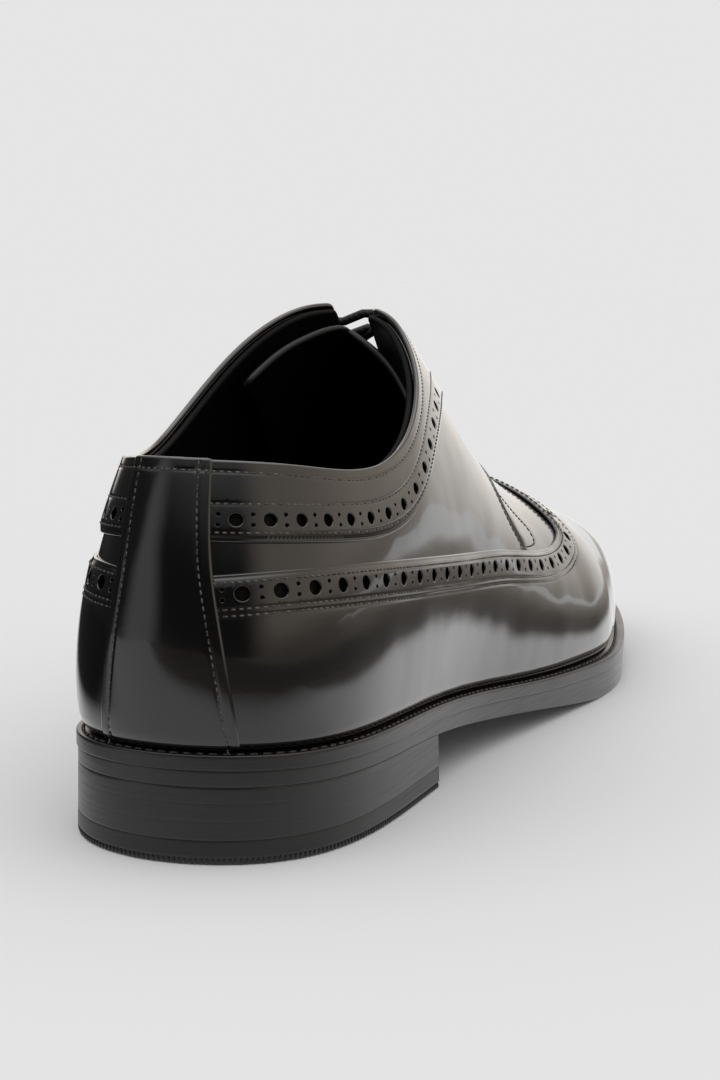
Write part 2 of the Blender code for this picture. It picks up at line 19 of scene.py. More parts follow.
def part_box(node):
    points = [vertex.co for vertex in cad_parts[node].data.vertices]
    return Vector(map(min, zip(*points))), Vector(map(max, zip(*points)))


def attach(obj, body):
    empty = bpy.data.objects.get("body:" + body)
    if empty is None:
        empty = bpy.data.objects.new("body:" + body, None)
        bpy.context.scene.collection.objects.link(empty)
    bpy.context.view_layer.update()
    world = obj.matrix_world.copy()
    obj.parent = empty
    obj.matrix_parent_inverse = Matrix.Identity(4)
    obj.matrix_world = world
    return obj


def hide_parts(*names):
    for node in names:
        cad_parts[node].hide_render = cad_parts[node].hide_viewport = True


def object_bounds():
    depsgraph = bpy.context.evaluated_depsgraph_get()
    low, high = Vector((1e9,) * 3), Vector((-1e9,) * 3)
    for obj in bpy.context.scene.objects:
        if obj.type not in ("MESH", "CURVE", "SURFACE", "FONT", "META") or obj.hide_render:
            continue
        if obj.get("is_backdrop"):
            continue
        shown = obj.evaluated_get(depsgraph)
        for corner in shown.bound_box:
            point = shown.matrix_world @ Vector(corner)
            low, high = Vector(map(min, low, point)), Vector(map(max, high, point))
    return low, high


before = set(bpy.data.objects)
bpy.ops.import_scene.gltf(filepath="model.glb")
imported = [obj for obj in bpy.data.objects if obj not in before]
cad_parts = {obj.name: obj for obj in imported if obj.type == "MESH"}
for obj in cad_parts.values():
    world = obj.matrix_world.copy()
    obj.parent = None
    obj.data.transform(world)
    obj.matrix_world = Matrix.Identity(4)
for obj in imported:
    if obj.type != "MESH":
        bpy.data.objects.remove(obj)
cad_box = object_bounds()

MM = 0.001
print("nodes in the frame:", sorted(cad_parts))

# %% [markdown]
# ## The last in a few tables
# A shoemaker's last is known by sections: its outline on the floor, its side profile, the line of its crown
# and how far its wall bulges. The tables give those sections in millimetres, measured from the back of the
# heel, with the lateral side at +x. A sculpted mesh could hold the form too, but a short table can be read
# and corrected by anyone who owns a ruler.

# %% Driving sizes and tables
LENGTH = 302.0
LEATHER = 2.2
JOINT = 0.25
CREST_BACK = 34.0
CREST_FRONT = 258.0
CORNER = 124.0
THROAT = 178.0
THROAT_ROUND = 8.0

# Sole plan: distance along, lateral edge, medial edge
PLAN = (
    (0.0, 0.5, 0.5),
    (10.0, 23.4, -23.0),
    (36.0, 32.8, -33.0),
    (72.0, 35.2, -31.0),
    (100.0, 37.5, -26.5),
    (135.0, 43.6, -26.5),
    (168.0, 50.0, -37.0),
    (190.0, 52.6, -45.5),
    (212.0, 50.7, -49.5),
    (240.0, 45.2, -47.6),
    (262.0, 38.8, -42.0),
    (281.0, 30.0, -33.6),
    (294.0, 19.0, -22.5),
    (302.0, -2.0, -2.0),
)
# Side profile: distance along, top of the welt, underside of the outsole, welt ledge in front of the upper
PROFILE = (
    (0.0, 22.4, 15.8, 2.6),
    (36.0, 20.8, 14.4, 2.7),
    (72.0, 18.9, 12.4, 2.8),
    (105.0, 15.9, 8.8, 3.1),
    (140.0, 12.3, 4.5, 3.5),
    (168.0, 10.6, 1.0, 4.0),
    (184.0, 10.1, -0.3, 4.3),
    (203.0, 9.9, -0.5, 4.5),
    (220.0, 10.0, -0.2, 4.6),
    (245.0, 10.5, 0.9, 4.6),
    (275.0, 11.9, 2.5, 4.6),
    (302.0, 13.9, 4.6, 4.6),
)
# Crown of the last: distance along, sideways offset, height
CROWN = (
    (34.0, 0.0, 124.0),
    (80.0, 0.0, 123.5),
    (105.0, -1.0, 119.5),
    (124.0, -2.0, 109.5),
    (145.0, -3.0, 89.0),
    (165.0, -3.5, 72.5),
    (185.0, -4.0, 60.5),
    (205.0, -4.5, 53.0),
    (232.0, -4.0, 46.0),
    (258.0, -3.0, 40.5),
)
# Wall: distance along, lateral and medial bulge, low pull height, lateral and medial high pull run,
# high pull height
WALL = (
    (0.0, 7.0, 7.0, 0.30, 0.46, 0.56, 0.80),
    (36.0, 8.0, 8.5, 0.32, 0.28, 0.56, 0.80),
    (72.0, 8.0, 9.0, 0.34, 0.10, 0.02, 0.78),
    (105.0, 7.5, 10.0, 0.34, 0.24, -0.21, 0.78),
    (140.0, 6.5, 10.0, 0.36, 0.40, 0.27, 0.78),
    (175.0, 5.5, 8.0, 0.42, 0.42, 0.42, 0.82),
    (205.0, 5.0, 5.0, 0.54, 0.38, 0.38, 0.92),
    (240.0, 4.5, 3.5, 0.66, 0.34, 0.34, 1.00),
    (275.0, 4.0, 3.5, 0.70, 0.32, 0.32, 1.00),
    (302.0, 3.5, 3.5, 0.72, 0.30, 0.30, 1.00),
)
# Topline: distance along, lateral height, medial height
TOPLINE = (
    (0.0, 79.8, 79.8),
    (12.0, 78.5, 78.6),
    (30.0, 75.5, 76.6),
    (48.0, 74.5, 75.4),
    (64.0, 78.0, 78.4),
    (80.0, 85.0, 86.8),
    (92.0, 91.0, 95.3),
    (102.0, 96.5, 101.3),
    (113.0, 102.0, 105.1),
    (125.0, 104.6, 105.6),
)
# Facing edge: distance along the crown, lateral gap, medial gap
FACING = (
    (100.0, 6.0, 4.6),
    (124.0, 6.0, 4.6),
    (150.0, 6.0, 5.2),
    (178.0, 7.5, 7.5),
)
print("rows in the tables:", sum(len(t) for t in (PLAN, PROFILE, CROWN, WALL, TOPLINE, FACING)))

# %% [markdown]
# ## From tables to smooth lines
# A last is carved, so its lines run on without corners. Straight bits between the rows would show as facets
# in polished leather, and a curve object can't be asked for its height at a given place. A cubic spline
# passes through every row, bends as little as it can, and gives a value for any distance.


# %% Splines through the tables
def spline(knots, values, closed=False):
    """Cubic spline through the rows, natural at its ends or periodic."""
    knots = np.asarray(knots, float)
    values = np.asarray(values, float)
    count = len(knots)
    step = np.diff(knots)
    rate = np.diff(values) / step
    matrix = np.zeros((count, count))
    right = np.zeros(count)
    for i in range(1, count - 1):
        matrix[i, i - 1:i + 2] = step[i - 1], 2 * (step[i - 1] + step[i]), step[i]
        right[i] = 6 * (rate[i] - rate[i - 1])
    matrix[0, 0] = 1
    if closed:
        matrix[0, -1] = -1
        matrix[-1, [-2, 0, 1]] = step[-1], 2 * (step[-1] + step[0]), step[0]
        right[-1] = 6 * (rate[0] - rate[-1])
    else:
        matrix[-1, -1] = 1
    bend = np.linalg.solve(matrix, right)

    def at(x):
        x = np.asarray(x, float)
        i = np.clip(np.searchsorted(knots, x, side="right") - 1, 0, count - 2)
        h = step[i]
        u = x - knots[i]
        v = h - u
        curve = (bend[i] * v ** 3 + bend[i + 1] * u ** 3) / (6 * h)
        return curve + (values[i] / h - bend[i] * h / 6) * v + (values[i + 1] / h - bend[i + 1] * h / 6) * u

    return at


def columns(table):
    """One spline for each column of a table after its first."""
    rows = np.array(table)
    return [spline(rows[:, 0], rows[:, k]) for k in range(1, rows.shape[1])]


rim_height, sole_low, ledge = columns(PROFILE)
crown_side, crown_height = columns(CROWN)
bulge_lateral, bulge_medial, pull_low, run_lateral, run_medial, pull_high = columns(WALL)
top_lateral, top_medial = columns(TOPLINE)
print("crown at the foot of the throat: %.1f mm high" % crown_height(THROAT))

# %% [markdown]
# ## The last as one function
# Leather pulled over a last takes its form, so that form is needed at any spot, not only at a mesh's points.
# Two numbers name a spot: the turn around the shoe, from the heel's back to the toe's tip, and the share of
# the way up from the welt to the crown. Each section is one Bezier curve, with a low pull that swells the
# wall and a high pull that lays it over. On a sculpted mesh each spot would have to be searched for.

# %% The last as functions
TINY = 1e-4
SMALL = 1e-3
NEAR_TOE = 0.02
NEAR_CROWN = 0.9
# Sections whose high pull is above this share begin to follow the crown's slope
SLOPED_FROM = 0.9
SLOPED_OVER = 0.1


def unit(vectors):
    """Vectors made one long."""
    return vectors / np.maximum(np.linalg.norm(vectors, axis=-1, keepdims=True), 1e-9)


def turn_at(along):
    """The turn around the shoe, 0 at the heel's back and pi at the toe's tip, of a distance along it."""
    return np.arccos(np.clip(1 - 2 * np.asarray(along, float) / LENGTH, -1, 1))


def along_of(turn):
    return LENGTH * (1 - np.cos(turn)) / 2


def wrapped(turn):
    return (np.asarray(turn, float) + math.pi) % (2 * math.pi) - math.pi


def plan_spline():
    """The sole's edge as one closed spline over the turn."""
    rows = np.array(PLAN)
    turns = turn_at(rows[:, 0])
    around = np.concatenate([-turns[::-1], turns[1:]])
    edges = np.concatenate([rows[::-1, 2], rows[1:, 1]])
    return spline(around, edges, closed=True)


plan_edge = plan_spline()


def outline(turn, inset):
    """A point of the sole's plan outline, moved in by an inset."""
    turn = np.asarray(turn, float)
    side = plan_edge(wrapped(turn))
    side_rate = (plan_edge(wrapped(turn + TINY)) - plan_edge(wrapped(turn - TINY))) / (2 * TINY)
    along_rate = LENGTH * np.sin(turn) / 2
    size = np.hypot(side_rate, along_rate)
    return np.stack([side - inset * along_rate / size, along_of(turn) + inset * side_rate / size], -1)


def crown_of(turn):
    """The crown point that a section at this turn rises to."""
    along = CREST_BACK + (CREST_FRONT - CREST_BACK) * along_of(turn) / LENGTH
    return np.stack([crown_side(along), along, crown_height(along)], -1)


def last_point(turn, share):
    """A point of the upper's outside: share 0 at the welt, 1 at the crown."""
    turn, share = np.broadcast_arrays(np.asarray(turn, float), np.asarray(share, float))
    along = along_of(turn)
    foot = np.concatenate([outline(turn, ledge(along)), (rim_height(along) + JOINT)[..., None]], -1)
    crown = crown_of(turn)
    lateral = 0.5 + 0.5 * np.sin(turn)
    bulge = bulge_lateral(along) * lateral + bulge_medial(along) * (1 - lateral)
    run = crown[..., :2] - foot[..., :2]
    rise = crown[..., 2] - foot[..., 2]
    low_pull = np.concatenate([foot[..., :2] - unit(run) * bulge[..., None],
                               (foot[..., 2] + pull_low(along) * rise)[..., None]], -1)
    high = pull_high(along)
    steep = crown_height(crown[..., 1] + 0.5) - crown_height(crown[..., 1] - 0.5)
    slope = steep * np.clip((high - SLOPED_FROM) / SLOPED_OVER, 0, 1)
    run_high = run_lateral(along) * lateral + run_medial(along) * (1 - lateral)
    flat = foot[..., :2] + run * run_high[..., None]
    lift = foot[..., 2] + high * rise + slope * (flat[..., 1] - crown[..., 1])
    high_pull = np.concatenate([flat, lift[..., None]], -1)
    t = share[..., None]
    s = 1 - t
    return s ** 3 * foot + 3 * t * s ** 2 * low_pull + 3 * t * t * s * high_pull + t ** 3 * crown


def last_normal(turn, share):
    """The outward normal of the upper's outside."""
    inner = np.clip(np.asarray(share, float), SMALL, 1 - 2 * SMALL)
    folded = wrapped(turn)
    beside_toe = np.clip(folded, -math.pi + NEAR_TOE, math.pi - NEAR_TOE)
    spot = np.where(inner > NEAR_CROWN, beside_toe, folded)
    around = last_point(spot + SMALL, inner) - last_point(spot - SMALL, inner)
    upward = last_point(spot, inner + SMALL) - last_point(spot, inner - SMALL)
    return unit(np.cross(around, upward))


dense = outline(np.linspace(-math.pi, math.pi, 1441), 0.0)
MIDDLE = np.array([(dense[:, 0].max() + dense[:, 0].min()) / 2, LENGTH / 2, 0.0])
print("sole in plan: %.1f by %.1f mm" % tuple(np.ptp(dense, axis=0)))

# %% [markdown]
# ## Where the wall ends
# The upper stops at the topline around the ankle and at the two facings beside the throat. In front of the
# throat both sides meet on the crown. A Boolean cutter could trim a mesh there, with ragged triangles along
# the cut. Finding the share where each section crosses the line gives a clean edge that all layers share.

# %% Topline and facing
SECTION = np.linspace(0, 1, 801)
TOPLINE_PAST = 6.0
FACING_BEFORE = 14.0


def crown_gap(crown_along, lateral):
    """Half the throat's opening, rounded to nothing at its foot."""
    rows = np.array(FACING)
    gap = np.interp(crown_along, rows[:, 0], rows[:, 1 if lateral else 2])
    into_round = np.clip((crown_along - (THROAT - THROAT_ROUND)) / THROAT_ROUND, 0, 1)
    return gap * math.sqrt(1 - into_round ** 2)


def share_at_reach(points, shares, wanted):
    """The share where a section, past its widest, comes within a wanted reach of the crown in plan."""
    reach = np.linalg.norm(points[:, :2] - points[-1, :2], axis=1)
    widest = int(np.argmax(reach))
    return float(np.interp(-wanted, -reach[widest:], shares[widest:]))


def trim_share(turn):
    """Where the upper's wall ends on a section: at the topline, at the facing's edge or at the crown."""
    lateral = turn >= 0
    points = last_point(turn, SECTION)
    crown_along = points[-1, 1]
    end = 1.0
    if crown_along < CORNER + TOPLINE_PAST:
        line = (top_lateral if lateral else top_medial)(np.clip(points[:, 1], 0, TOPLINE[-1][0]))
        above = points[:, 2] - line
        past = int(np.argmax(above > 0))
        if past:
            part = above[past - 1] / (above[past - 1] - above[past])
            end = SECTION[past - 1] + part * (SECTION[past] - SECTION[past - 1])
    if CORNER - FACING_BEFORE < crown_along < THROAT:
        end = min(end, share_at_reach(points, SECTION, crown_gap(crown_along, lateral)))
    return end


upper_low, upper_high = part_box("upper")
print("upper in the frame, mm:", [round((b - a) * 1000, 1) for a, b in zip(upper_low, upper_high)])
print("at the heel's back the wall ends at a share of %.3f" % trim_share(0.0))

# %% [markdown]
# ## Drawing on the last
# A pattern cutter draws on the covered last with a pen. Here a line is a row of marks of turn and share,
# smoothed and spaced evenly over the surface. Blender's curves could be projected on a mesh instead, but
# lines that know the surface can be moved sideways by real millimetres, as stitch and punch rows need.


# %% Lines on the surface
def moved_on(turn, share, push):
    """The turn and share of points after a push in millimetres over the surface."""
    inner = np.clip(share, SMALL, 1 - SMALL)
    around = (last_point(turn + SMALL, inner) - last_point(turn - SMALL, inner)) / (2 * SMALL)
    upward = (last_point(turn, inner + SMALL) - last_point(turn, inner - SMALL)) / (2 * SMALL)
    aa = (around * around).sum(-1)
    au = (around * upward).sum(-1)
    uu = (upward * upward).sum(-1)
    pa = (push * around).sum(-1)
    pu = (push * upward).sum(-1)
    size = aa * uu - au * au
    return np.stack([turn + (pa * uu - pu * au) / size, share + (pu * aa - pa * au) / size], -1)


def on_last(path):
    return last_point(path[:, 0], path[:, 1])


def run_of(path):
    """Distance travelled along a path, in millimetres, at each of its points."""
    steps = np.linalg.norm(np.diff(on_last(path), axis=0), axis=1)
    return np.concatenate([[0.0], np.cumsum(steps)])


def spaced(path, step):
    """The path with its points at even distances over the last."""
    run = run_of(path)
    at = np.linspace(0, run[-1], max(2, int(round(run[-1] / step)) + 1))
    return np.stack([np.interp(at, run, path[:, k]) for k in (0, 1)], -1)


def smooth_path(rows):
    """A smooth line through rows of turn in degrees and share."""
    marks = np.array(rows, float) * (math.pi / 180, 1.0)
    knots = run_of(marks)
    at = np.linspace(0, knots[-1], 800)
    return np.stack([spline(knots, marks[:, k])(at) for k in (0, 1)], -1)


def beside(path, distance):
    """A path parallel to another, to its left as seen from outside."""
    heading = unit(np.gradient(on_last(path), axis=0))
    left = np.cross(last_normal(path[:, 0], path[:, 1]), heading)
    return moved_on(path[:, 0], path[:, 1], left * distance)


def mirrored(path):
    return path * (-1.0, 1.0)


def kept(path, good):
    """The longest stretch of a path whose points all pass a test."""
    runs = np.split(np.arange(len(path)), np.flatnonzero(np.diff(good.astype(int))) + 1)
    return path[max((r for r in runs if good[r[0]]), key=len)]


heel_back = np.stack([0 * SECTION, SECTION], -1)
print("heel's back from welt to crown: %.0f mm over the surface" % run_of(heel_back)[-1])

# %% [markdown]
# ## The pattern
# These are the lines that a maker would mark: the strap up the heel, the long wing, the collar, the front of
# the quarter and the seam that holds its corner. They could be traced as curves by eye. A few marks each are
# easier to correct, and the medial side is the lateral one in mirror image, but for the strap's own edge.

# %% Pattern lines
PATH_STEP = 0.9
# Back strap: share of the wall's height, lateral and medial edge as a turn in degrees
STRAP = (
    (0.0, 11.2, 14.8), (0.13, 9.4, 13.2), (0.25, 7.6, 12.3), (0.34, 6.2, 12.0), (0.43, 5.6, 12.8),
    (0.60, 5.6, 14.5),
)
# Wing edge, from the strap forward to the peak in front of the throat: turn in degrees, share
WING = (
    (5.6, 0.326), (18.0, 0.331), (32.0, 0.326), (49.0, 0.309), (67.5, 0.297), (83.0, 0.330), (91.0, 0.365),
    (96.5, 0.400), (100.5, 0.440), (103.0, 0.485), (104.0, 0.535), (105.0, 0.600), (106.7, 0.700),
    (108.0, 0.800), (109.2, 0.900), (110.0, 1.000),
)
# Lower edge of the collar panel: turn in degrees, share
COLLAR = (
    (5.0, 0.389), (18.0, 0.384), (33.0, 0.371), (45.0, 0.364), (52.0, 0.382), (58.5, 0.439), (63.0, 0.500),
    (69.0, 0.573), (76.0, 0.650), (84.0, 0.735), (91.0, 0.828),
)
# Front edge of the quarter, from the welt up to the throat: turn in degrees, share
QUARTER = (
    (79.0, 0.0), (82.5, 0.20), (85.6, 0.32), (86.3, 0.365), (85.6, 0.41), (85.2, 0.45), (85.4, 0.49),
    (86.2, 0.53), (87.4, 0.575), (89.5, 0.63), (92.6, 0.69), (96.3, 0.755), (100.4, 0.82), (104.3, 0.89),
    (106.2, 0.965),
)
# Curved seam that holds the quarter's corner down on the vamp: turn in degrees, share
CORNER_SEAM = (
    (86.7, 0.512), (88.6, 0.492), (90.6, 0.468), (91.9, 0.438), (91.7, 0.408), (90.2, 0.384), (87.9, 0.368),
)
SIDES = (("lateral", 1), ("medial", -1))

strap_edge_at = dict(zip((1, -1), columns(STRAP)))
wing_edge, collar_edge, quarter_edge, corner_seam = (
    spaced(smooth_path(rows), PATH_STEP) for rows in (WING, COLLAR, QUARTER, CORNER_SEAM))
print("wing edge: %.0f mm a side" % run_of(wing_edge)[-1])
print("collar edge: %.0f mm a side" % run_of(collar_edge)[-1])

# %% [markdown]
# ## One helper for nodes
# Every finish is a small tree of nodes that ends in a Principled shader. One function adds a node with its
# settings, values and links, for shaders and for Geometry Nodes alike, so a tree reads like a list of what it
# does. Colours are written as hex codes, as a colour picker shows them, and turned into the linear values
# that Blender computes with. Patterns are sized by real millimetres.


# %% Node helper and colours
def feed(tree, node, inputs):
    """Fills a node's inputs: a socket is linked, and anything else becomes the input's own value."""
    for socket, value in inputs.items():
        if isinstance(value, bpy.types.NodeSocket):
            tree.links.new(value, node.inputs[socket])
        else:
            node.inputs[socket].default_value = value
    return node


def add(tree, kind, inputs=None, **settings):
    """A new node with its settings and its inputs."""
    node = tree.nodes.new(kind)
    for key, value in settings.items():
        setattr(node, key, value)
    return feed(tree, node, inputs or {})


def linear(code):
    """A hex colour as linear red, green, blue and alpha."""
    parts = [int(code[i:i + 2], 16) / 255 for i in (1, 3, 5)]
    return tuple(p / 12.92 if p <= 0.04045 else ((p + 0.055) / 1.055) ** 2.4 for p in parts) + (1.0,)


def per(size_mm):
    """A texture's scale from the real size of its pattern in millimetres."""
    return 1 / (size_mm * MM)


def new_material(name):
    """A material, its tree, its shader and the Object coordinates that its patterns read."""
    made = bpy.data.materials.new(name)
    made.use_nodes = True
    tree = made.node_tree
    return made, tree, tree.nodes["Principled BSDF"], add(tree, "ShaderNodeTexCoord").outputs["Object"]


# A Mix node has sockets of the same names for each kind of data: these are its two colours and the result
FIRST, SECOND, MIXED = 6, 7, 2
print("middle grey in linear light: %.3f" % linear("#808080")[0])

# %% [markdown]
# ## Glazed calf
# The upper is calf leather that was dyed black, filled with wax and glazed under pressure. One glossy black
# would look like plastic. Two layers do better: a dark base whose roughness wanders a little, and a clear
# coat, smoother than the grain under it, that mirrors the room. Where an overlay hides the leather it was
# never polished. The mesh marks those spots, so that the punched holes look down on a dull, dark floor.

# %% Glazed calf leather
CALF_DARK = "#060505"
CALF_LIGHT = "#0C0B0A"
CALF_BARE = "#14120F"
POLISH = 0.13
POLISH_WANDERS = 0.10
BARE_ROUGHER = 0.3
CALF_SHINE = 0.5
BARE_SHINE = 0.08
WAX_IOR = 1.52
CLOUD_MM = 22.0
RIPPLE_MM = 16.0
# Calf's own grain is only tenths of a millimetre wide, so it is drawn coarser than life to show at all
GRAIN_MM = 0.9
PORE_MM = 1.3


def glazed_calf(name, overlaid):
    """Black glazed calf; one that is overlaid goes dull where its mesh is marked as covered."""
    made, tree, shader, place = new_material(name)
    cloud = add(tree, "ShaderNodeTexNoise", {"Vector": place, "Scale": per(CLOUD_MM), "Detail": 2.0})
    grain = add(tree, "ShaderNodeTexNoise",
                {"Vector": place, "Scale": per(GRAIN_MM), "Detail": 3.0, "Roughness": 0.6})
    pores = add(tree, "ShaderNodeTexVoronoi", {"Vector": place, "Scale": per(PORE_MM)}, feature="F1")
    ripple = add(tree, "ShaderNodeTexNoise", {"Vector": place, "Scale": per(RIPPLE_MM), "Detail": 1.0})
    tint = add(tree, "ShaderNodeMix", {"Factor": cloud.outputs["Fac"], FIRST: linear(CALF_DARK),
                                       SECOND: linear(CALF_LIGHT)}, data_type="RGBA")
    rough = add(tree, "ShaderNodeMapRange",
                {"Value": cloud.outputs["Fac"], "From Min": 0.3, "From Max": 0.7,
                 "To Min": POLISH, "To Max": POLISH + POLISH_WANDERS})
    wave = add(tree, "ShaderNodeBump",
               {"Height": ripple.outputs["Fac"], "Distance": 0.30 * MM, "Strength": 0.8})
    skin = add(tree, "ShaderNodeMath", {0: grain.outputs["Fac"], 1: pores.outputs["Distance"]},
               operation="ADD")
    fine = add(tree, "ShaderNodeBump", {"Height": skin.outputs[0], "Distance": 0.02 * MM, "Strength": 0.5,
                                        "Normal": wave.outputs["Normal"]})
    feed(tree, shader, {
        "Base Color": tint.outputs[MIXED], "Roughness": rough.outputs[0], "Specular IOR Level": CALF_SHINE,
        "IOR": WAX_IOR, "Normal": fine.outputs["Normal"], "Coat Weight": 1.0, "Coat Roughness": 0.05,
        "Coat IOR": WAX_IOR, "Coat Normal": wave.outputs["Normal"]})
    if overlaid:
        covered = add(tree, "ShaderNodeAttribute", attribute_name="covered").outputs["Fac"]
        bare = add(tree, "ShaderNodeMix", {"Factor": covered, FIRST: tint.outputs[MIXED],
                                           SECOND: linear(CALF_BARE)}, data_type="RGBA")
        dull = add(tree, "ShaderNodeMath", {0: covered, 1: BARE_ROUGHER, 2: rough.outputs[0]},
                   operation="MULTIPLY_ADD")
        waxed = add(tree, "ShaderNodeMath", {0: 1.0, 1: covered}, operation="SUBTRACT")
        shine = add(tree, "ShaderNodeMath",
                    {0: waxed.outputs[0], 1: CALF_SHINE - BARE_SHINE, 2: BARE_SHINE},
                    operation="MULTIPLY_ADD")
        feed(tree, shader, {"Base Color": bare.outputs[MIXED], "Roughness": dull.outputs[0],
                            "Coat Weight": waxed.outputs[0], "Specular IOR Level": shine.outputs[0]})
    return made


# Glazed calf gives the eye a deep black with the room lying on it, a little wavy
calf = glazed_calf("black glazed calf", overlaid=True)
panel_calf = glazed_calf("black glazed calf overlay", overlaid=False)
print("calf finishes:", [m.name for m in (calf, panel_calf)])

# %% [markdown]
# ## Lining, sock and tongue leather
# Inside a shoe the leather is left unpolished, so it has an open grain and almost no shine. The tongue is a
# little smoother. The glazed calf without its coat would still look too fine, so these get a finish of their
# own, and one function with a few values makes all three.


# %% Matt leathers
def matt_leather(name, dark, light, roughness, grain_mm, shine):
    """Unpolished leather: no coat, an open grain and little shine."""
    made, tree, shader, place = new_material(name)
    cloud = add(tree, "ShaderNodeTexNoise", {"Vector": place, "Scale": per(12.0), "Detail": 4.0})
    grain = add(tree, "ShaderNodeTexVoronoi", {"Vector": place, "Scale": per(grain_mm)})
    tint = add(tree, "ShaderNodeMix", {"Factor": cloud.outputs["Fac"], FIRST: linear(dark),
                                       SECOND: linear(light)}, data_type="RGBA")
    rough = add(tree, "ShaderNodeMapRange", {"Value": cloud.outputs["Fac"], "To Min": roughness - 0.06,
                                             "To Max": roughness + 0.10})
    bump = add(tree, "ShaderNodeBump",
               {"Height": grain.outputs["Distance"], "Distance": 0.06 * MM, "Strength": 0.6})
    feed(tree, shader, {"Base Color": tint.outputs[MIXED], "Roughness": rough.outputs[0],
                        "Normal": bump.outputs["Normal"], "Specular IOR Level": shine})
    return made


# Lining and sock swallow the light and make the inside a dark hollow
lining_leather = matt_leather("black lining leather", "#030303", "#060707", 0.60, 0.9, 0.12)
sock_leather = matt_leather("black sock leather", "#040404", "#080808", 0.65, 1.1, 0.15)
# The tongue keeps a dull sheen on its bend
tongue_calf = matt_leather("black tongue leather", "#060606", "#0C0C0B", 0.40, 0.8, 0.35)
print("matt leathers:", [m.name for m in (lining_leather, sock_leather, tongue_calf)])

# %% [markdown]
# ## Dressed edges
# The edges of welt, sole and heel are cut leather or rubber, trimmed with a knife, inked black and waxed. The
# knife leaves fine level marks. A scratch texture could draw them, but a noise stretched along the edge does
# so without an image. Where the ink has rubbed through, brown leather shows: a value on the mesh says where.

# %% Dressed sole edges, heel lifts and rubber
RUBBED_BROWN = "#4A3627"
MARK_STRETCH = 30.0


def dressed_edge(name, dark, light, roughness, coat, line_mm):
    """Trimmed and ink-dressed edge: fine level marks of the trimming knife under a thin wax."""
    made, tree, shader, place = new_material(name)
    flat = add(tree, "ShaderNodeMapping", {"Vector": place, "Scale": (1.0, 1.0, MARK_STRETCH)})
    marks = add(tree, "ShaderNodeTexNoise",
                {"Vector": flat.outputs[0], "Scale": per(line_mm * MARK_STRETCH), "Detail": 5.0})
    cloud = add(tree, "ShaderNodeTexNoise", {"Vector": place, "Scale": per(9.0), "Detail": 3.0})
    worn = add(tree, "ShaderNodeAttribute", attribute_name="worn")
    tint = add(tree, "ShaderNodeMix", {"Factor": cloud.outputs["Fac"], FIRST: linear(dark),
                                       SECOND: linear(light)}, data_type="RGBA")
    brown = add(tree, "ShaderNodeMix", {"Factor": worn.outputs["Fac"], FIRST: tint.outputs[MIXED],
                                        SECOND: linear(RUBBED_BROWN)}, data_type="RGBA")
    rough = add(tree, "ShaderNodeMapRange",
                {"Value": marks.outputs["Fac"], "From Min": 0.3, "From Max": 0.7,
                 "To Min": roughness - 0.05, "To Max": roughness + 0.08})
    bump = add(tree, "ShaderNodeBump",
               {"Height": marks.outputs["Fac"], "Distance": 0.05 * MM, "Strength": 0.6})
    feed(tree, shader, {"Base Color": brown.outputs[MIXED], "Roughness": rough.outputs[0],
                        "Normal": bump.outputs["Normal"], "Coat Weight": coat, "Coat Roughness": 0.28})
    return made


# Inked leather shows a soft grey gleam that follows the knife's marks
welt_edge = dressed_edge("black dressed welt leather", "#121212", "#1A1919", 0.32, 0.35, 0.5)
sole_edge = dressed_edge("black dressed sole leather", "#141414", "#1D1C1B", 0.36, 0.40, 0.5)
heel_edge = dressed_edge("black dressed heel lifts", "#131313", "#1C1C1C", 0.38, 0.40, 0.45)
# Rubber is duller, with hardly any wax on it
top_rubber = dressed_edge("black heel rubber", "#121212", "#1A1A1A", 0.44, 0.2, 0.7)
print("dressed edges:", [m.name for m in (welt_edge, sole_edge, heel_edge, top_rubber)])

# %% [markdown]
# ## Thread and lace
# Seams are sewn with waxed thread and the lace is waxed too. Both are twisted from plies, so light breaks on
# slanted bands. Modelled plies would need far too many faces at this size. A wave texture, turned off the
# axes, draws the bands at the thread's real pitch.

# %% Twisted thread and lace
PLY_SLANT = (0.6, 0.5, 0.7)
FULL_WAVE = 6.28


def twisted_cotton(name, dark, light, roughness, twist_mm):
    """Waxed cotton: fine slanted plies with a low shine and no coat."""
    made, tree, shader, place = new_material(name)
    slant = add(tree, "ShaderNodeMapping", {"Vector": place, "Rotation": PLY_SLANT})
    plies = add(tree, "ShaderNodeTexWave",
                {"Vector": slant.outputs[0], "Scale": per(twist_mm * FULL_WAVE), "Distortion": 0.8})
    # The slanted bands are painted light and shade across the plies, in the colour as well as in the bump
    tint = add(tree, "ShaderNodeMix", {"Factor": plies.outputs["Fac"], FIRST: linear(dark),
                                       SECOND: linear(light)}, data_type="RGBA")
    bump = add(tree, "ShaderNodeBump",
               {"Height": plies.outputs["Fac"], "Distance": 0.12 * MM, "Strength": 0.6})
    feed(tree, shader, {"Base Color": tint.outputs[MIXED], "Normal": bump.outputs["Normal"],
                        "Roughness": roughness})
    return made


# The thread is black, and its paler grey is a painted highlight, so a seam reads as a fine grey line on the
# black
seam_thread_with_painted_highlight = twisted_cotton("black waxed thread with painted highlight", "#24221F", "#5A554F", 0.35, 0.35)
welt_thread = twisted_cotton("grey black welt thread", "#191817", "#3A3734", 0.45, 0.5)
# The lace is a matt black cord that stands out from the leather by its lack of shine
lace_cotton = twisted_cotton("black waxed lace", "#0B0B0B", "#1B1A1A", 0.55, 0.6)
print("materials:", len(bpy.data.materials))

# %% [markdown]
# ## A closed leather skin
# Real leather has two faces and a cut edge that a hot iron has rounded. Solidify and Bevel could give a sheet
# that edge, but they disturb the shading next to it. Here both faces and a few rows round the edge are laid
# down with normals worked out from the last, because glossy black shows every unevenness of a mesh.

# %% Closed skins
EDGE_ANGLES = (30.0, 60.0, 90.0, 90.0, 120.0, 150.0)
ROUND_AT_MOST = 0.49


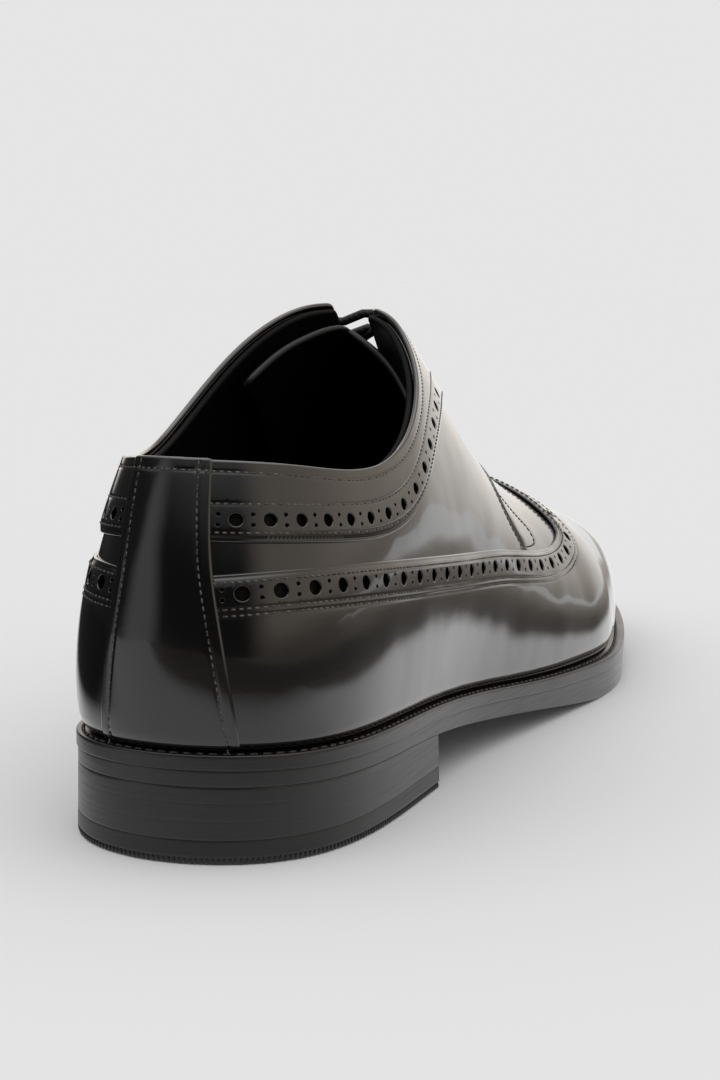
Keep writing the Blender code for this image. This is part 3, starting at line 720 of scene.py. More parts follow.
def edges_once(faces):
    """Directed edges that only one face uses."""
    used = set()
    for face in faces:
        for a, b in zip(face, face[1:] + face[:1]):
            used.add((a, b))
    return [(a, b) for a, b in used if (b, a) not in used]


def mesh_piece(name, points, faces, look, normals=None, sharp_deg=None):
    """An object at the origin from points in millimetres on the last's axes."""
    mesh = bpy.data.meshes.new(name)
    mesh.from_pydata(((np.asarray(points) - MIDDLE) * MM).tolist(), [], faces)
    mesh.shade_smooth()
    if sharp_deg:
        mesh.set_sharp_from_angle(angle=math.radians(sharp_deg))
    if normals is not None:
        mesh.normals_split_custom_set_from_vertices(normals.tolist())
    mesh.materials.append(look)
    piece = bpy.data.objects.new(name, mesh)
    bpy.context.scene.collection.objects.link(piece)
    return piece


def closed_skin(name, base, normal, faces, far, near, lift, shade, rounding, look, follow=0.0):
    """A sheet with two faces and rounded edges: far and near are offsets along the normal, lift is relief."""
    count = len(base)
    rim = edges_once(faces)
    start, end = np.array(rim).T
    side = unit(np.cross(base[end] - base[start], normal[start] + normal[end]))
    outward = np.zeros((count, 3))
    np.add.at(outward, start, side)
    np.add.at(outward, end, side)
    rim_list = sorted({v for edge in rim for v in edge})
    number = {v: i for i, v in enumerate(rim_list)}
    out = unit(outward[rim_list])
    up = normal[rim_list]
    spot = base[rim_list]
    raised = lift[rim_list]
    curve = np.minimum(rounding[rim_list], (far + raised * (1 - follow) - near) * ROUND_AT_MOST)
    points = [base + normal * (far + lift)[:, None]]
    shades = [shade]
    rows = len(EDGE_ANGLES)
    for k, angle in enumerate(EDGE_ANGLES):
        cosine = math.cos(math.radians(angle))
        sine = math.sin(math.radians(angle))
        if k < rows // 2:
            level = far + raised - curve * (1 - cosine)
        else:
            level = near + raised * follow + curve * (1 + cosine)
        points.append(spot + out * (curve * sine)[:, None] + up * level[:, None])
        shades.append(up * cosine + out * sine)
    points.append(base + normal * (near + lift * follow)[:, None])
    shades.append(-normal)
    under = count + rows * len(rim_list)
    made = [tuple(f) for f in faces]
    made += [tuple(under + v for v in reversed(f)) for f in faces]

    def row(k, v):
        if k == 0:
            return v
        if k == rows + 1:
            return under + v
        return count + (k - 1) * len(rim_list) + number[v]

    for a, b in rim:
        for k in range(rows + 1):
            made.append((row(k + 1, a), row(k + 1, b), row(k, b), row(k, a)))
    return mesh_piece(name, np.concatenate(points), made, look, np.concatenate(shades))


def give_values(mesh, name, values):
    """A number or a vector for each point of a mesh, for shaders and trees to read."""
    values = np.asarray(values, np.float32)
    kind, field = ("FLOAT", "value") if values.ndim == 1 else ("FLOAT_VECTOR", "vector")
    mesh.attributes.new(name, kind, "POINT").data.foreach_set(field, values.ravel())


print("rows round a leather edge:", len(EDGE_ANGLES))

# %% [markdown]
# ## Holes and ridges
# Punched holes are round on the leather, so their rims are drawn on the surface and not in the flat. Stitches
# pull a shallow channel, a pared edge thins out and a free edge stands up a little: all three are one soft
# ridge or groove along a line. A bump map could fake them, but here the relief is real, in the mesh itself.


# %% Rims and ridges
def axes_at(turn, share):
    """Unit vectors around the shoe and up the wall at a spot."""
    around = unit(last_point(turn + SMALL, share) - last_point(turn - SMALL, share))
    return around, np.cross(last_normal(turn, share), around)


def ring_at(turn, share, radius, sides):
    """A round hole's rim on the last, clockwise as seen from outside."""
    around, upward = axes_at(turn, share)
    angle = -np.linspace(0, 2 * math.pi, sides, endpoint=False)
    push = np.cos(angle)[:, None] * around + np.sin(angle)[:, None] * upward
    return moved_on(np.full(sides, turn), np.full(sides, share), push * radius)


def tree_of(points):
    """A search tree that finds the nearest of many points."""
    tree = KDTree(len(points))
    for i, p in enumerate(points):
        tree.insert(p, i)
    tree.balance()
    return tree


def gap_to(*paths):
    """A function for the distance to paths on the last, measured to the straight bits between points."""
    runs = [on_last(spaced(p, 0.4)) for p in paths]
    spots = np.concatenate(runs)
    before = np.concatenate([np.vstack([r[:1], r[:-1]]) for r in runs])
    after = np.concatenate([np.vstack([r[1:], r[-1:]]) for r in runs])
    tree = tree_of(spots)

    def gap(points):
        index = np.array([tree.find(p)[1] for p in points])
        start = spots[index]
        least = np.full(len(points), np.inf)
        for end in (before[index], after[index]):
            run = end - start
            part = ((points - start) * run).sum(-1) / np.maximum((run * run).sum(-1), 1e-12)
            foot = start + run * np.clip(part, 0, 1)[:, None]
            least = np.minimum(least, np.linalg.norm(points - foot, axis=1))
        return least

    return gap


def ridge(paths, height, width):
    """A soft ridge along paths, or a groove where its height is below zero."""
    gap = gap_to(*paths)
    return lambda points: height * np.exp(-(gap(points) / width) ** 2)


test_ring = on_last(ring_at(0.5, 0.2, 1.0, 20))
print("a ring drawn 2 mm wide measures %.2f mm" % np.linalg.norm(test_ring[0] - test_ring[10]))

# %% [markdown]
# ## Folds and the turned-in foot
# Lasting and walking leave soft troughs and ridges in the leather, and at the welt the upper is drawn in.
# Noise would put folds anywhere. A short list puts each one where a shoe bends, as a long soft swelling with
# a heading of its own.

# %% Folds and foot
TUCK = 1.3
TUCK_HEIGHT = 4.0
# Soft folds: turn in degrees, share, heading in degrees, half length, half width, height
FOLDS = (
    (72.0, 0.42, 60.0, 22.0, 7.0, 0.07),
    (63.0, 0.40, 75.0, 16.0, 7.0, -0.06),
    (80.0, 0.24, 80.0, 14.0, 7.0, -0.14),
    (92.0, 0.22, 85.0, 14.0, 6.0, 0.16),
    (99.0, 0.24, 95.0, 13.0, 6.0, -0.16),
    (106.0, 0.26, 100.0, 13.0, 6.5, 0.14),
    (113.0, 0.30, 105.0, 14.0, 7.0, -0.12),
    (30.0, 0.17, 80.0, 20.0, 9.0, -0.12),
)


def foot_tuck(points):
    """The upper turns in where it is drawn down to the welt."""
    height = points[:, 2] - rim_height(points[:, 1]) - JOINT
    return -TUCK * np.clip(1 - height / TUCK_HEIGHT, 0, 1) ** 2


def fold_rows():
    """Each fold's centre, two unit axes and sizes, on both sides of the shoe."""
    rows = []
    for sign in (1, -1):
        for turn, share, heading, *sizes in FOLDS:
            spot = sign * math.radians(turn)
            around, upward = axes_at(spot, share)
            angle = math.radians(heading)
            axis = around * sign * math.cos(angle) + upward * math.sin(angle)
            across = upward * math.cos(angle) - around * sign * math.sin(angle)
            rows.append((last_point(spot, share), axis, across, *sizes))
    return rows


fold_table = fold_rows()


def soft_folds(points):
    total = np.zeros(len(points))
    for centre, axis, across, half_length, half_width, height in fold_table:
        gap = points - centre
        total += height * np.exp(-(gap @ axis / half_length) ** 2 - (gap @ across / half_width) ** 2)
    return total


print("soft folds:", len(fold_table))

# %% [markdown]
# ## Filling an outline
# A panel is a flat piece with an outline and holes. A grid of faces can't follow either, and a Boolean leaves
# slivers. A constrained Delaunay triangulation keeps every rim exactly and fills the area between with
# triangles as even as can be. It works on the chart of turn and share. Points on the crown and on the toe's
# middle line are drawn once a side but are one point on the shoe, so they are joined afterwards.

# %% Filling an outline
CHART = 100.0
SAME = 1e-7
SEAM_SUPPORT = (0.0, -0.4, 0.4, -0.85, 0.85)
SEAM_CLEAR = 0.36
GRID_CLEAR = 0.6


def inside_loop(spots, loop):
    """Which spots lie inside a closed loop, by counting crossings."""
    inside = np.zeros(len(spots), bool)
    for a, b in zip(loop, np.roll(loop, -1, axis=0)):
        crosses = (a[1] > spots[:, 1]) != (b[1] > spots[:, 1])
        if crosses.any():
            reach = a[0] + (spots[:, 1] - a[1]) / (b[1] - a[1] + 1e-15) * (b[0] - a[0])
            inside ^= crosses & (spots[:, 0] < reach)
    return inside


def open_spots(spots, rings, taken, gap):
    """The spots inside an outline, outside its holes and a gap away from points that are taken already."""
    spots = spots[inside_loop(spots, rings[0])]
    tree = tree_of(on_last(taken))
    spots = spots[np.array([tree.find(p)[2] for p in on_last(spots)]) > gap]
    for ring in rings[1:]:
        spots = spots[~inside_loop(spots, ring)]
    return spots


def loose_points(rings, seams, grid):
    """Points between the rings: rows on and beside the seams, then an even grid."""
    fixed = np.concatenate(rings)
    rows = [beside(spaced(path, PATH_STEP), d) for path in seams for d in SEAM_SUPPORT]
    rows = open_spots(np.concatenate([np.zeros((0, 2)), *rows]), rings, fixed, SEAM_CLEAR)
    low = rings[0].min(axis=0)
    high = rings[0].max(axis=0)
    ranges = [np.arange(a, b, grid / CHART) for a, b in zip(low, high)]
    spots = np.stack([k.ravel() for k in np.meshgrid(*ranges, indexing="ij")], -1)
    spots = open_spots(spots, rings, np.concatenate([fixed, rows]), GRID_CLEAR * grid)
    return np.concatenate([rows, spots])


def filled(rings, loose):
    """Points, the number of the ring that each lies on, and triangles between an outline and its holes."""
    fixed = np.concatenate(rings)
    owner = np.repeat(np.arange(len(rings)), [len(r) for r in rings])
    links = []
    for ring in rings:
        start = len(links)
        links += [(start + i, start + (i + 1) % len(ring)) for i in range(len(ring))]
    every = np.concatenate([fixed, loose]) * CHART
    points, _, faces, origins, *_ = delaunay_2d_cdt([Vector(p) for p in every], links, [], 1, SAME, True)
    flat = np.array([tuple(p) for p in points]) / CHART
    label = np.full(len(flat), -1)
    for i, sources in enumerate(origins):
        on_rings = [s for s in sources if s < len(fixed)]
        if on_rings:
            label[i] = owner[on_rings[0]]
            flat[i] = fixed[on_rings[0]]
    middles = np.array([flat[list(face)].mean(axis=0) for face in faces])
    wanted = inside_loop(middles, rings[0])
    for ring in rings[1:]:
        reach = np.abs(middles - ring.mean(axis=0)).max(axis=1)
        close = np.flatnonzero(reach < np.ptp(ring, axis=0).max())
        wanted[close] &= ~inside_loop(middles[close], ring)
    return flat, label, [face for face, good in zip(faces, wanted) if good]


def joined_at_crown(flat, label, faces):
    """The same with those points made one that are one point on the shoe."""
    fold = np.abs(wrapped(flat[:, 0]))
    on_toe = (fold > math.pi - SAME) & (np.abs(np.abs(flat[:, 0]) - math.pi) < SAME)
    first = {}
    home = np.arange(len(flat))
    for i in np.flatnonzero((flat[:, 1] > 1 - SAME) | on_toe):
        key = (round(float(fold[i]), 5), round(float(flat[i, 1]), 5))
        home[i] = first.setdefault(key, i)
    used = sorted({int(home[v]) for f in faces for v in f})
    number = {v: i for i, v in enumerate(used)}
    faces = [[number[int(home[v])] for v in f] for f in faces]
    return flat[used], label[used], [f for f in faces if len(set(f)) == 3]


print("rows of points along a seam:", len(SEAM_SUPPORT))

# %% [markdown]
# ## The panel cutter
# With its outline filled, a sheet is laid on the last, raised by its relief and closed. The relief is probed
# a little to two sides of each point, which tilts the normals as the slope does. Blender's smooth shading
# would average the faces instead, and the mirror image in the leather would show each triangle.

# %% The panel cutter
PROBE = 0.05
PROBE_AXIS = (0.31, 0.77, 0.55)
COVER_MARGIN = 0.012


def with_relief(base, normal, reliefs):
    """How far each point is raised, and the normals of the raised sheet."""
    def raised(points):
        return sum((r(points) for r in reliefs), np.zeros(len(points)))

    lift = raised(base)
    first_side = unit(np.cross(normal, PROBE_AXIS))
    shade = normal
    for side in (first_side, np.cross(normal, first_side)):
        shade = shade - side * ((raised(base + side * PROBE) - lift) / PROBE)[:, None]
    return lift, unit(shade)


def cut_panel(name, loop, far, near, look, holes=(), seams=(), reliefs=(), grid=1.3, rounding=0.45,
              follow=0.0, covered=None):
    """A leather panel: loop runs anticlockwise as seen from outside, holes are (ring, rounding) pairs."""
    rings = [loop] + [ring for ring, _ in holes]
    flat, label, faces = joined_at_crown(*filled(rings, loose_points(rings, seams, grid)))
    base = on_last(flat)
    normal = last_normal(flat[:, 0], flat[:, 1])
    crest = flat[:, 1] > 1 - SAME
    normal[crest] = unit(normal[crest] + last_normal(-flat[crest, 0], flat[crest, 1]))
    lift, shade = with_relief(base, normal, reliefs)
    curve = np.array([rounding] + [soft for _, soft in holes])[np.maximum(label, 0)]
    piece = closed_skin(name, base, normal, faces, far, near, lift, shade, curve, look, follow)
    if covered is not None:
        amounts = np.zeros(len(piece.data.vertices))
        amounts[:len(flat)] = covered(flat)
        give_values(piece.data, "covered", amounts)
    print("%s: %d triangles" % (name, sum(len(p.vertices) - 2 for p in piece.data.polygons)))
    return piece


def under_panels(flat):
    """1 where the wing tip or a collar panel covers a spot, which leaves the leather there unpolished."""
    fold = np.abs(wrapped(flat[:, 0]))
    wing = np.interp(fold, wing_edge[:, 0], wing_edge[:, 1])
    collar = np.interp(fold, collar_edge[:, 0], collar_edge[:, 1], right=2.0)
    return (flat[:, 1] < wing - COVER_MARGIN) | (flat[:, 1] > collar + COVER_MARGIN)


# %% [markdown]
# ## Punch rows
# The ornament of a brogue is punched by hand tools: one round hole, then a pair of pinholes, and so on along
# every edge. Geometry Nodes could set hundreds of cutters on a line, but a Boolean with them leaves ragged
# rims in a thin, glossy sheet. So the rows are rims for the panel cutter, measured from the panel's edge in
# millimetres. Their gaps grow a little towards the toe, as a maker spaces them.

# %% Rows of holes
BIG_WING = 1.45
BIG_COLLAR = 1.28
PIN = 0.42
PAIR = 1.05
RIM_BIG = 0.28
RIM_PIN = 0.14
ROW_START = 0.9
# Spacing of big holes: the first one's place, the first gap, the gap's growth and the widest gap
WING_SPACING = (5.0, 7.6, 1.03, 9.0)
COLLAR_SPACING = (5.0, 6.7, 1.035, 9.5)
# Distances of the stitch rows and of the punched row from the panel's edge
WING_ROWS = (-1.3, -6.6, -7.9)
WING_PUNCH = -3.6
COLLAR_ROWS = (1.4, 7.1)
COLLAR_PUNCH = 4.0
# Where the rows end: shares on the wing, turns in degrees on the collar
WING_SEWN_TO = 0.985
WING_PUNCHED_TO = 0.955
COLLAR_SEWN_TO = 88.0
COLLAR_PUNCHED_TO = 75.0


def punched(path, radius, first, gap, growth, widest):
    """Holes along a path, each a rim and its rounding: big ones, and a pair of pinholes between two."""
    run = run_of(path)
    upper_row = beside(path, PAIR)
    lower_row = beside(path, -PAIR)
    holes = []
    at = first
    while at < run[-1]:
        for row, place, size, sides, soft in (
            (path, at, radius + RIM_BIG, 20, RIM_BIG),
            (upper_row, at - gap / 2, PIN + RIM_PIN, 8, RIM_PIN),
            (lower_row, at - gap / 2, PIN + RIM_PIN, 8, RIM_PIN),
        ):
            if place > ROW_START:
                turn, share = (float(np.interp(place, run, row[:, k])) for k in (0, 1))
                holes.append((ring_at(turn, share, size, sides), soft))
        at += gap
        gap = min(gap * growth, widest)
    return holes


def past_strap(path, sign):
    """Which points of a path, drawn as on the lateral side, lie in front of the strap on one side."""
    return path[:, 0] > np.radians(strap_edge_at[sign](path[:, 1]))


wing_seams = {}
wing_holes = {}
collar_seams = {}
collar_holes = {}
for side, sign in SIDES:
    rows = [beside(wing_edge, d) for d in WING_ROWS]
    wing_seams[sign] = [kept(p, past_strap(p, sign) & (p[:, 1] < WING_SEWN_TO)) for p in rows]
    row = beside(wing_edge, WING_PUNCH)
    row = kept(row, past_strap(row, sign) & (wing_edge[:, 1] < WING_PUNCHED_TO))
    wing_holes[sign] = punched(row, BIG_WING, *WING_SPACING)
    rows = [beside(collar_edge, d) for d in COLLAR_ROWS]
    sewn = collar_edge[:, 0] < math.radians(COLLAR_SEWN_TO)
    collar_seams[sign] = [kept(p, past_strap(p, sign) & sewn) for p in rows]
    row = beside(collar_edge, COLLAR_PUNCH)
    row = kept(row, past_strap(row, sign) & (collar_edge[:, 0] < math.radians(COLLAR_PUNCHED_TO)))
    collar_holes[sign] = punched(row, BIG_COLLAR, *COLLAR_SPACING)
    print("punched holes, %s: wing %d, collar %d" % (side, len(wing_holes[sign]), len(collar_holes[sign])))

# %% [markdown]
# ## Eyelets, facings and topline
# The quarters close over the instep with five pairs of eyelets. Where they sit decides where the lace runs,
# so their places are worked out once from the crown line. The topline is the same for every layer that
# reaches it. Each layer could be trimmed by eye, but here it stops a set distance above or below that one
# line, which gives the edge its fine parallel lines.

# %% Eyelets and trimmed edges
LACE_ROWS = (128.0, 139.5, 151.0, 162.5, 172.0)
COLLAR_LACES = 2
EYELET_OFFSET = 11.5
EYELET = 1.5
EYELET_RIM = 0.3
EYELET_SIDES = 16
TRIM_TURNS = np.radians(np.concatenate([np.arange(0, 74, 1.0), np.arange(74, 108.0, 0.33)]))
trim_of = {sign: np.array([trim_share(sign * t) for t in TRIM_TURNS]) for sign in (1, -1)}


def one_side(loop, sign):
    """A loop drawn for the lateral side, or its mirror image on the medial side."""
    return loop if sign > 0 else mirrored(loop)[::-1]


def hole_side(holes, sign):
    return [(one_side(ring, sign), soft) for ring, soft in holes]


def crown_turn(crown_along):
    """The turn of the section that rises to a distance along the crown."""
    share = (crown_along - CREST_BACK) / (CREST_FRONT - CREST_BACK)
    return float(np.arccos(1 - 2 * share))


def eyelets(rows):
    """Rims and roundings of the eyelets in some lace rows, drawn as on the lateral side."""
    rims = []
    for row in rows:
        turn = crown_turn(row)
        share = share_at_reach(last_point(turn, SECTION), SECTION, EYELET_OFFSET)
        rims.append((ring_at(turn, share, EYELET + EYELET_RIM, EYELET_SIDES), EYELET_RIM))
    return rims


def trim_path(sign, start_deg, end_deg, drop_mm):
    """The topline and facing edge on one side, moved down by a drop, as turn without sign and share."""
    turns = np.radians(np.linspace(start_deg, end_deg, 500))
    shares = np.interp(turns, TRIM_TURNS, trim_of[sign])
    path = spaced(np.stack([turns * sign, shares], -1), 0.8)
    backward = 1 if start_deg > end_deg else -1
    moved = beside(path, drop_mm * sign * backward)
    return np.stack([moved[:, 0] * sign, np.minimum(moved[:, 1], 1.0)], -1)


def joined(*paths):
    """One loop from paths laid end to end, without doubled points."""
    points = [paths[0]]
    for path in paths[1:]:
        points.append(path if np.linalg.norm(path[0] - points[-1][-1]) > 1e-6 else path[1:])
    loop = np.concatenate(points)
    return loop[:-1] if np.linalg.norm(loop[0] - loop[-1]) < 1e-6 else loop


def straight(a, b, step=PATH_STEP):
    """A line between two marks of turn in radians and share, spaced over the last."""
    part = np.linspace(0, 1, 200)[:, None]
    return spaced(np.array(a)[None] * (1 - part) + np.array(b)[None] * part, step)


print("eyelets:", 2 * len(eyelets(LACE_ROWS)))

# %% [markdown]
# ## Quarters
# The quarters are the two back halves of the upper. On a derby they are sewn on top of the vamp, so their
# front edges stand free, a little raised and inked. They could be one mesh with the vamp and a crease
# between, but two layers give the real step and its shadow.

# %% Quarters
QUARTER_THICK = 1.1
UNDER_COLLAR = 1.1
QUARTER_ROW = 1.7
QUARTER_GROOVE = (-0.10, 0.5)
FREE_EDGE = (0.35, 1.4)
INKED = 1.8
INK_FADE = 1.4
FACING_FOOT = 106.0
BARE_FROM = 90.0
# Points nearer to a corner than this would make slivers and are left out
SLIVER = 0.004


def beside_quarter(distance, low, high):
    """A row beside the quarter's front edge, where that edge lies between two shares."""
    share = quarter_edge[:, 1]
    return kept(beside(quarter_edge, distance), (share > low) & (share < high))


def inked_edge(path):
    """Unpolished where an overlay covers the quarter and along its own inked front edge."""
    gap = gap_to(path)

    def amount(flat):
        near_edge = np.clip(INK_FADE - INK_FADE * gap(on_last(flat)) / INKED, 0, 1)
        return np.maximum(under_panels(flat), near_edge)

    return amount


quarter_row = beside_quarter(QUARTER_ROW, 0.36, 0.93)
quarter_pieces = []
for side, sign in SIDES:
    top = trim_path(sign, FACING_FOOT, 0.0, UNDER_COLLAR)
    bare = top[:, 0] > math.radians(BARE_FROM)
    edge_only = trim_path(sign, FACING_FOOT, 0.0, 0.0)
    top[bare, 1] = np.interp(-top[bare, 0], -edge_only[:, 0], edge_only[:, 1])
    top[-1, 0] = 0.0
    front = kept(quarter_edge, quarter_edge[:, 1] < top[0, 1] - SLIVER)
    loop = joined(straight((0.0, 0.0), front[0]), front, top, straight(top[-1], (0.0, 0.0)))
    seams = [one_side(quarter_row, sign)]
    free_edge = one_side(quarter_edge, sign)
    quarter_pieces.append(cut_panel(
        "quarter_" + side, one_side(loop, sign), 0.0, -QUARTER_THICK, calf,
        holes=hole_side(eyelets(LACE_ROWS[COLLAR_LACES:]), sign), seams=seams,
        reliefs=(ridge(seams, *QUARTER_GROOVE), soft_folds, foot_tuck, ridge([free_edge], *FREE_EDGE)),
        covered=inked_edge(free_edge)))

# %% [markdown]
# ## Vamp
# The vamp covers the front of the foot and runs back under the quarters, a leather's thickness lower. It
# rises to the last's own surface a little in front of their edges, and that small step draws the dark line
# down from the throat. Two halves would leave a seam at the toe's tip, so its outline is drawn past the toe
# on one long chart.

# %% Vamp
VAMP_THICK = 0.8
VAMP_DROP = 0.55
VAMP_RISE = (0.3, 3.2)
VAMP_TUCK = 8.0
VAMP_TUCKED_TO = 0.84
STEP_ROW = -1.2
CORNER_GROOVE = (-0.14, 0.50)
THROAT_TURN = 106.6


def vamp_step(points):
    """How far the vamp lies below the last, next to and under the quarters' front edges."""
    total = np.full(len(points), 1.0)
    for sign in (1, -1):
        path = spaced(one_side(quarter_edge, sign), 0.6)
        spots = on_last(path)
        ahead = spots - on_last(beside(path, 1.0))
        tree = tree_of(spots)
        index = np.array([tree.find(p)[1] for p in points])
        signed = ((points - spots[index]) * ahead[index]).sum(-1)
        gap = np.sign(signed) * gap_to(path)(points)
        part = np.clip((gap - VAMP_RISE[0]) / (VAMP_RISE[1] - VAMP_RISE[0]), 0, 1)
        this_side = (points[:, 0] > crown_side(points[:, 1])) == (sign > 0)
        total = np.where(this_side, part * part * (3 - 2 * part), total)
    return -VAMP_DROP * (1 - total)


def crown_run(start_deg):
    """The crown line from one side of the throat round the toe to the other, drawn once a side."""
    turns = np.radians(np.linspace(start_deg, 180.0, 120))
    around = np.concatenate([turns, (2 * math.pi - turns[::-1])[1:]])
    return np.stack([around, np.ones(len(around))], -1)


def round_the_toe(path):
    """A lateral path seen on the medial side, with turns counted on past the toe."""
    return np.stack([2 * math.pi - path[:, 0], path[:, 1]], -1)


tucked_edge = beside_quarter(VAMP_TUCK, -1.0, VAMP_TUCKED_TO)
toe_crown = crown_run(THROAT_TURN)
vamp_side = joined(tucked_edge, straight(tucked_edge[-1], (toe_crown[0, 0], 1.0)))
vamp_foot = straight((vamp_side[0, 0], 0.0), (2 * math.pi - vamp_side[0, 0], 0.0), 1.2)
vamp_loop = joined(vamp_foot, round_the_toe(vamp_side), toe_crown[::-1], vamp_side[::-1])
corner_rows = [corner_seam, round_the_toe(corner_seam)]
step_row = beside_quarter(STEP_ROW, 0.33, 0.9)
vamp = cut_panel("vamp", vamp_loop, 0.0, -VAMP_THICK, calf, grid=1.5, follow=1.0, covered=under_panels,
                 seams=corner_rows + [step_row, round_the_toe(step_row)],
                 reliefs=(vamp_step, ridge(corner_rows, *CORNER_GROOVE), foot_tuck))

# %% [markdown]
# ## Wing tip
# The wing gives the longwing its name: one overlay that runs from the back strap along both sides and meets
# in a peak in front of the throat. Its edge is pared thin before it is sewn down. A Shrinkwrap could lay a
# flat sheet on the vamp, but not with an even thickness. Cut like the vamp, on the chart that goes round the
# toe, it keeps the place and the outside of the solid that it stands for.

# %% Wing tip
PANEL_UNDER = 0.02
PANEL_OUT = 1.4
PANEL_GROOVE = (-0.08, 0.45)
PARED = (-0.5, 0.9)
FOOT_SHARE = 0.012
TUCKED_UNDER_STRAP = 0.9


def strap_line(low, high, sign, inset_deg=0.0):
    """The strap's edge on one side between two shares, drawn as on the lateral side, moved in by degrees."""
    shares = np.linspace(low, high, 200)
    return spaced(np.stack([np.radians(strap_edge_at[sign](shares) - inset_deg), shares], -1), PATH_STEP)


wing_half = {}
for side, sign in SIDES:
    start = strap_line(FOOT_SHARE, WING[0][1], sign, TUCKED_UNDER_STRAP)
    edge = kept(wing_edge, wing_edge[:, 0] > start[-1, 0] + SLIVER)
    edge[-1, 1] = 1.0
    wing_half[sign] = joined(start, edge)
wing_crown = crown_run(math.degrees(wing_half[1][-1, 0]))
foot_line = straight(wing_half[1][0], (2 * math.pi - wing_half[-1][0, 0], FOOT_SHARE), 1.1)
wing_loop = joined(foot_line, round_the_toe(wing_half[-1]), wing_crown[::-1], wing_half[1][::-1])
both_wing_seams = wing_seams[1] + [round_the_toe(p) for p in wing_seams[-1]]
both_wing_holes = wing_holes[1] + [(round_the_toe(ring), soft) for ring, soft in wing_holes[-1]]
both_wing_edges = [wing_edge, round_the_toe(wing_edge)[::-1]]
wing_tip = cut_panel("wing_tip_panel", wing_loop, PANEL_OUT, PANEL_UNDER, panel_calf, grid=1.45,
                     holes=both_wing_holes, seams=both_wing_seams,
                     reliefs=(ridge(both_wing_seams, *PANEL_GROOVE), soft_folds, foot_tuck,
                              ridge(both_wing_edges, *PARED)))

# %% [markdown]
# ## Collar panels
# Along the topline a second overlay on each side curves up to the facings and takes the top eyelets. Its
# upper edge stands a little proud of the lining, and its lower edge is pared like the wing's. One panel round
# the heel would do, but the strap hides its middle, so there are two, as on the real shoe.

# %% Collar panels
COLLAR_BACK = 5.0
COLLAR_END = 91.0
COLLAR_PROUD = 0.35
TOP_ROW = 1.5
# Turns in degrees where the row under the topline ends at the strap
TOP_ROW_BACK = {1: 6.4, -1: 15.5}
top_row = {}
collar_pieces = []
for side, sign in SIDES:
    top = trim_path(sign, COLLAR_END, COLLAR_BACK, -COLLAR_PROUD)
    start = strap_line(collar_edge[0, 1], top[-1, 1], sign, TUCKED_UNDER_STRAP)
    lower = kept(collar_edge, collar_edge[:, 0] > start[0, 0] + SLIVER)
    upper = kept(top, top[:, 0] > start[-1, 0] + SLIVER)
    loop = joined(lower, straight(lower[-1], upper[0]), upper, straight(upper[-1], start[-1]), start[::-1])
    top_row[sign] = trim_path(sign, COLLAR_END - 1.0, TOP_ROW_BACK[sign], TOP_ROW)
    seams = [one_side(p, sign) for p in collar_seams[sign] + [top_row[sign]]]
    collar_pieces.append(cut_panel(
        "collar_panel_%s_leather" % side, one_side(loop, sign), PANEL_OUT, PANEL_UNDER, panel_calf,
        holes=hole_side(collar_holes[sign] + eyelets(LACE_ROWS[:COLLAR_LACES]), sign), seams=seams,
        grid=1.2, rounding=0.6,
        reliefs=(ridge(seams, *PANEL_GROOVE), soft_folds, ridge([one_side(collar_edge, sign)], *PARED))))

# %% [markdown]
# ## Back strap
# A tapered strip covers the seam at the heel. It lies over the ends of the wing and the collar panels, so it
# is the thickest overlay and has the roundest edge. It could be mirrored from one half, but its two edges
# differ, so its outline is drawn straight across the heel's back, where the turn changes sign.

# %% Back strap
STRAP_OUT = 1.85
STRAP_PROUD = 0.004
STRAP_ROW = 1.9
STRAP_GROOVE = (-0.10, 0.45)
# Turns in degrees of the strap's upper corners and of the ends of its top row
STRAP_CORNER = {1: 5.6, -1: 14.0}
STRAP_TOP_ROW = {1: 5.2, -1: 13.4}
strap_side = {}
for side, sign in SIDES:
    corner = np.interp(math.radians(STRAP_CORNER[sign]), TRIM_TURNS, trim_of[sign])
    strap_side[sign] = strap_line(FOOT_SHARE, float(corner), sign)
lateral_edge = strap_side[1]
medial_edge = mirrored(strap_side[-1])
top_turns = np.linspace(lateral_edge[-1, 0], medial_edge[-1, 0], 40)
top_shares = [np.interp(abs(t), TRIM_TURNS, trim_of[1 if t > 0 else -1]) + STRAP_PROUD for t in top_turns]
strap_loop = joined(straight(medial_edge[0], lateral_edge[0]), lateral_edge,
                    np.stack([top_turns, top_shares], -1), medial_edge[::-1])
strap_seams = [beside(strap_side[1], STRAP_ROW), mirrored(beside(strap_side[-1], STRAP_ROW)),
               trim_path(1, 0.0, STRAP_TOP_ROW[1], TOP_ROW),
               mirrored(trim_path(-1, 0.0, STRAP_TOP_ROW[-1], TOP_ROW))]
back_strap = cut_panel("back_strap_leather", strap_loop, STRAP_OUT, PANEL_UNDER, panel_calf, grid=1.0,
                       rounding=0.7, seams=strap_seams,
                       reliefs=(ridge(strap_seams, *STRAP_GROOVE), foot_tuck))

# %% [markdown]
# ## Lining
# Inside, one smooth black lining follows the whole wall, and its edge shows beside the collar's. The inner
# faces of the panels could simply be coloured, but a layer of its own gives the double line along the
# topline. It has no holes or seams, so a coarser grid is enough.

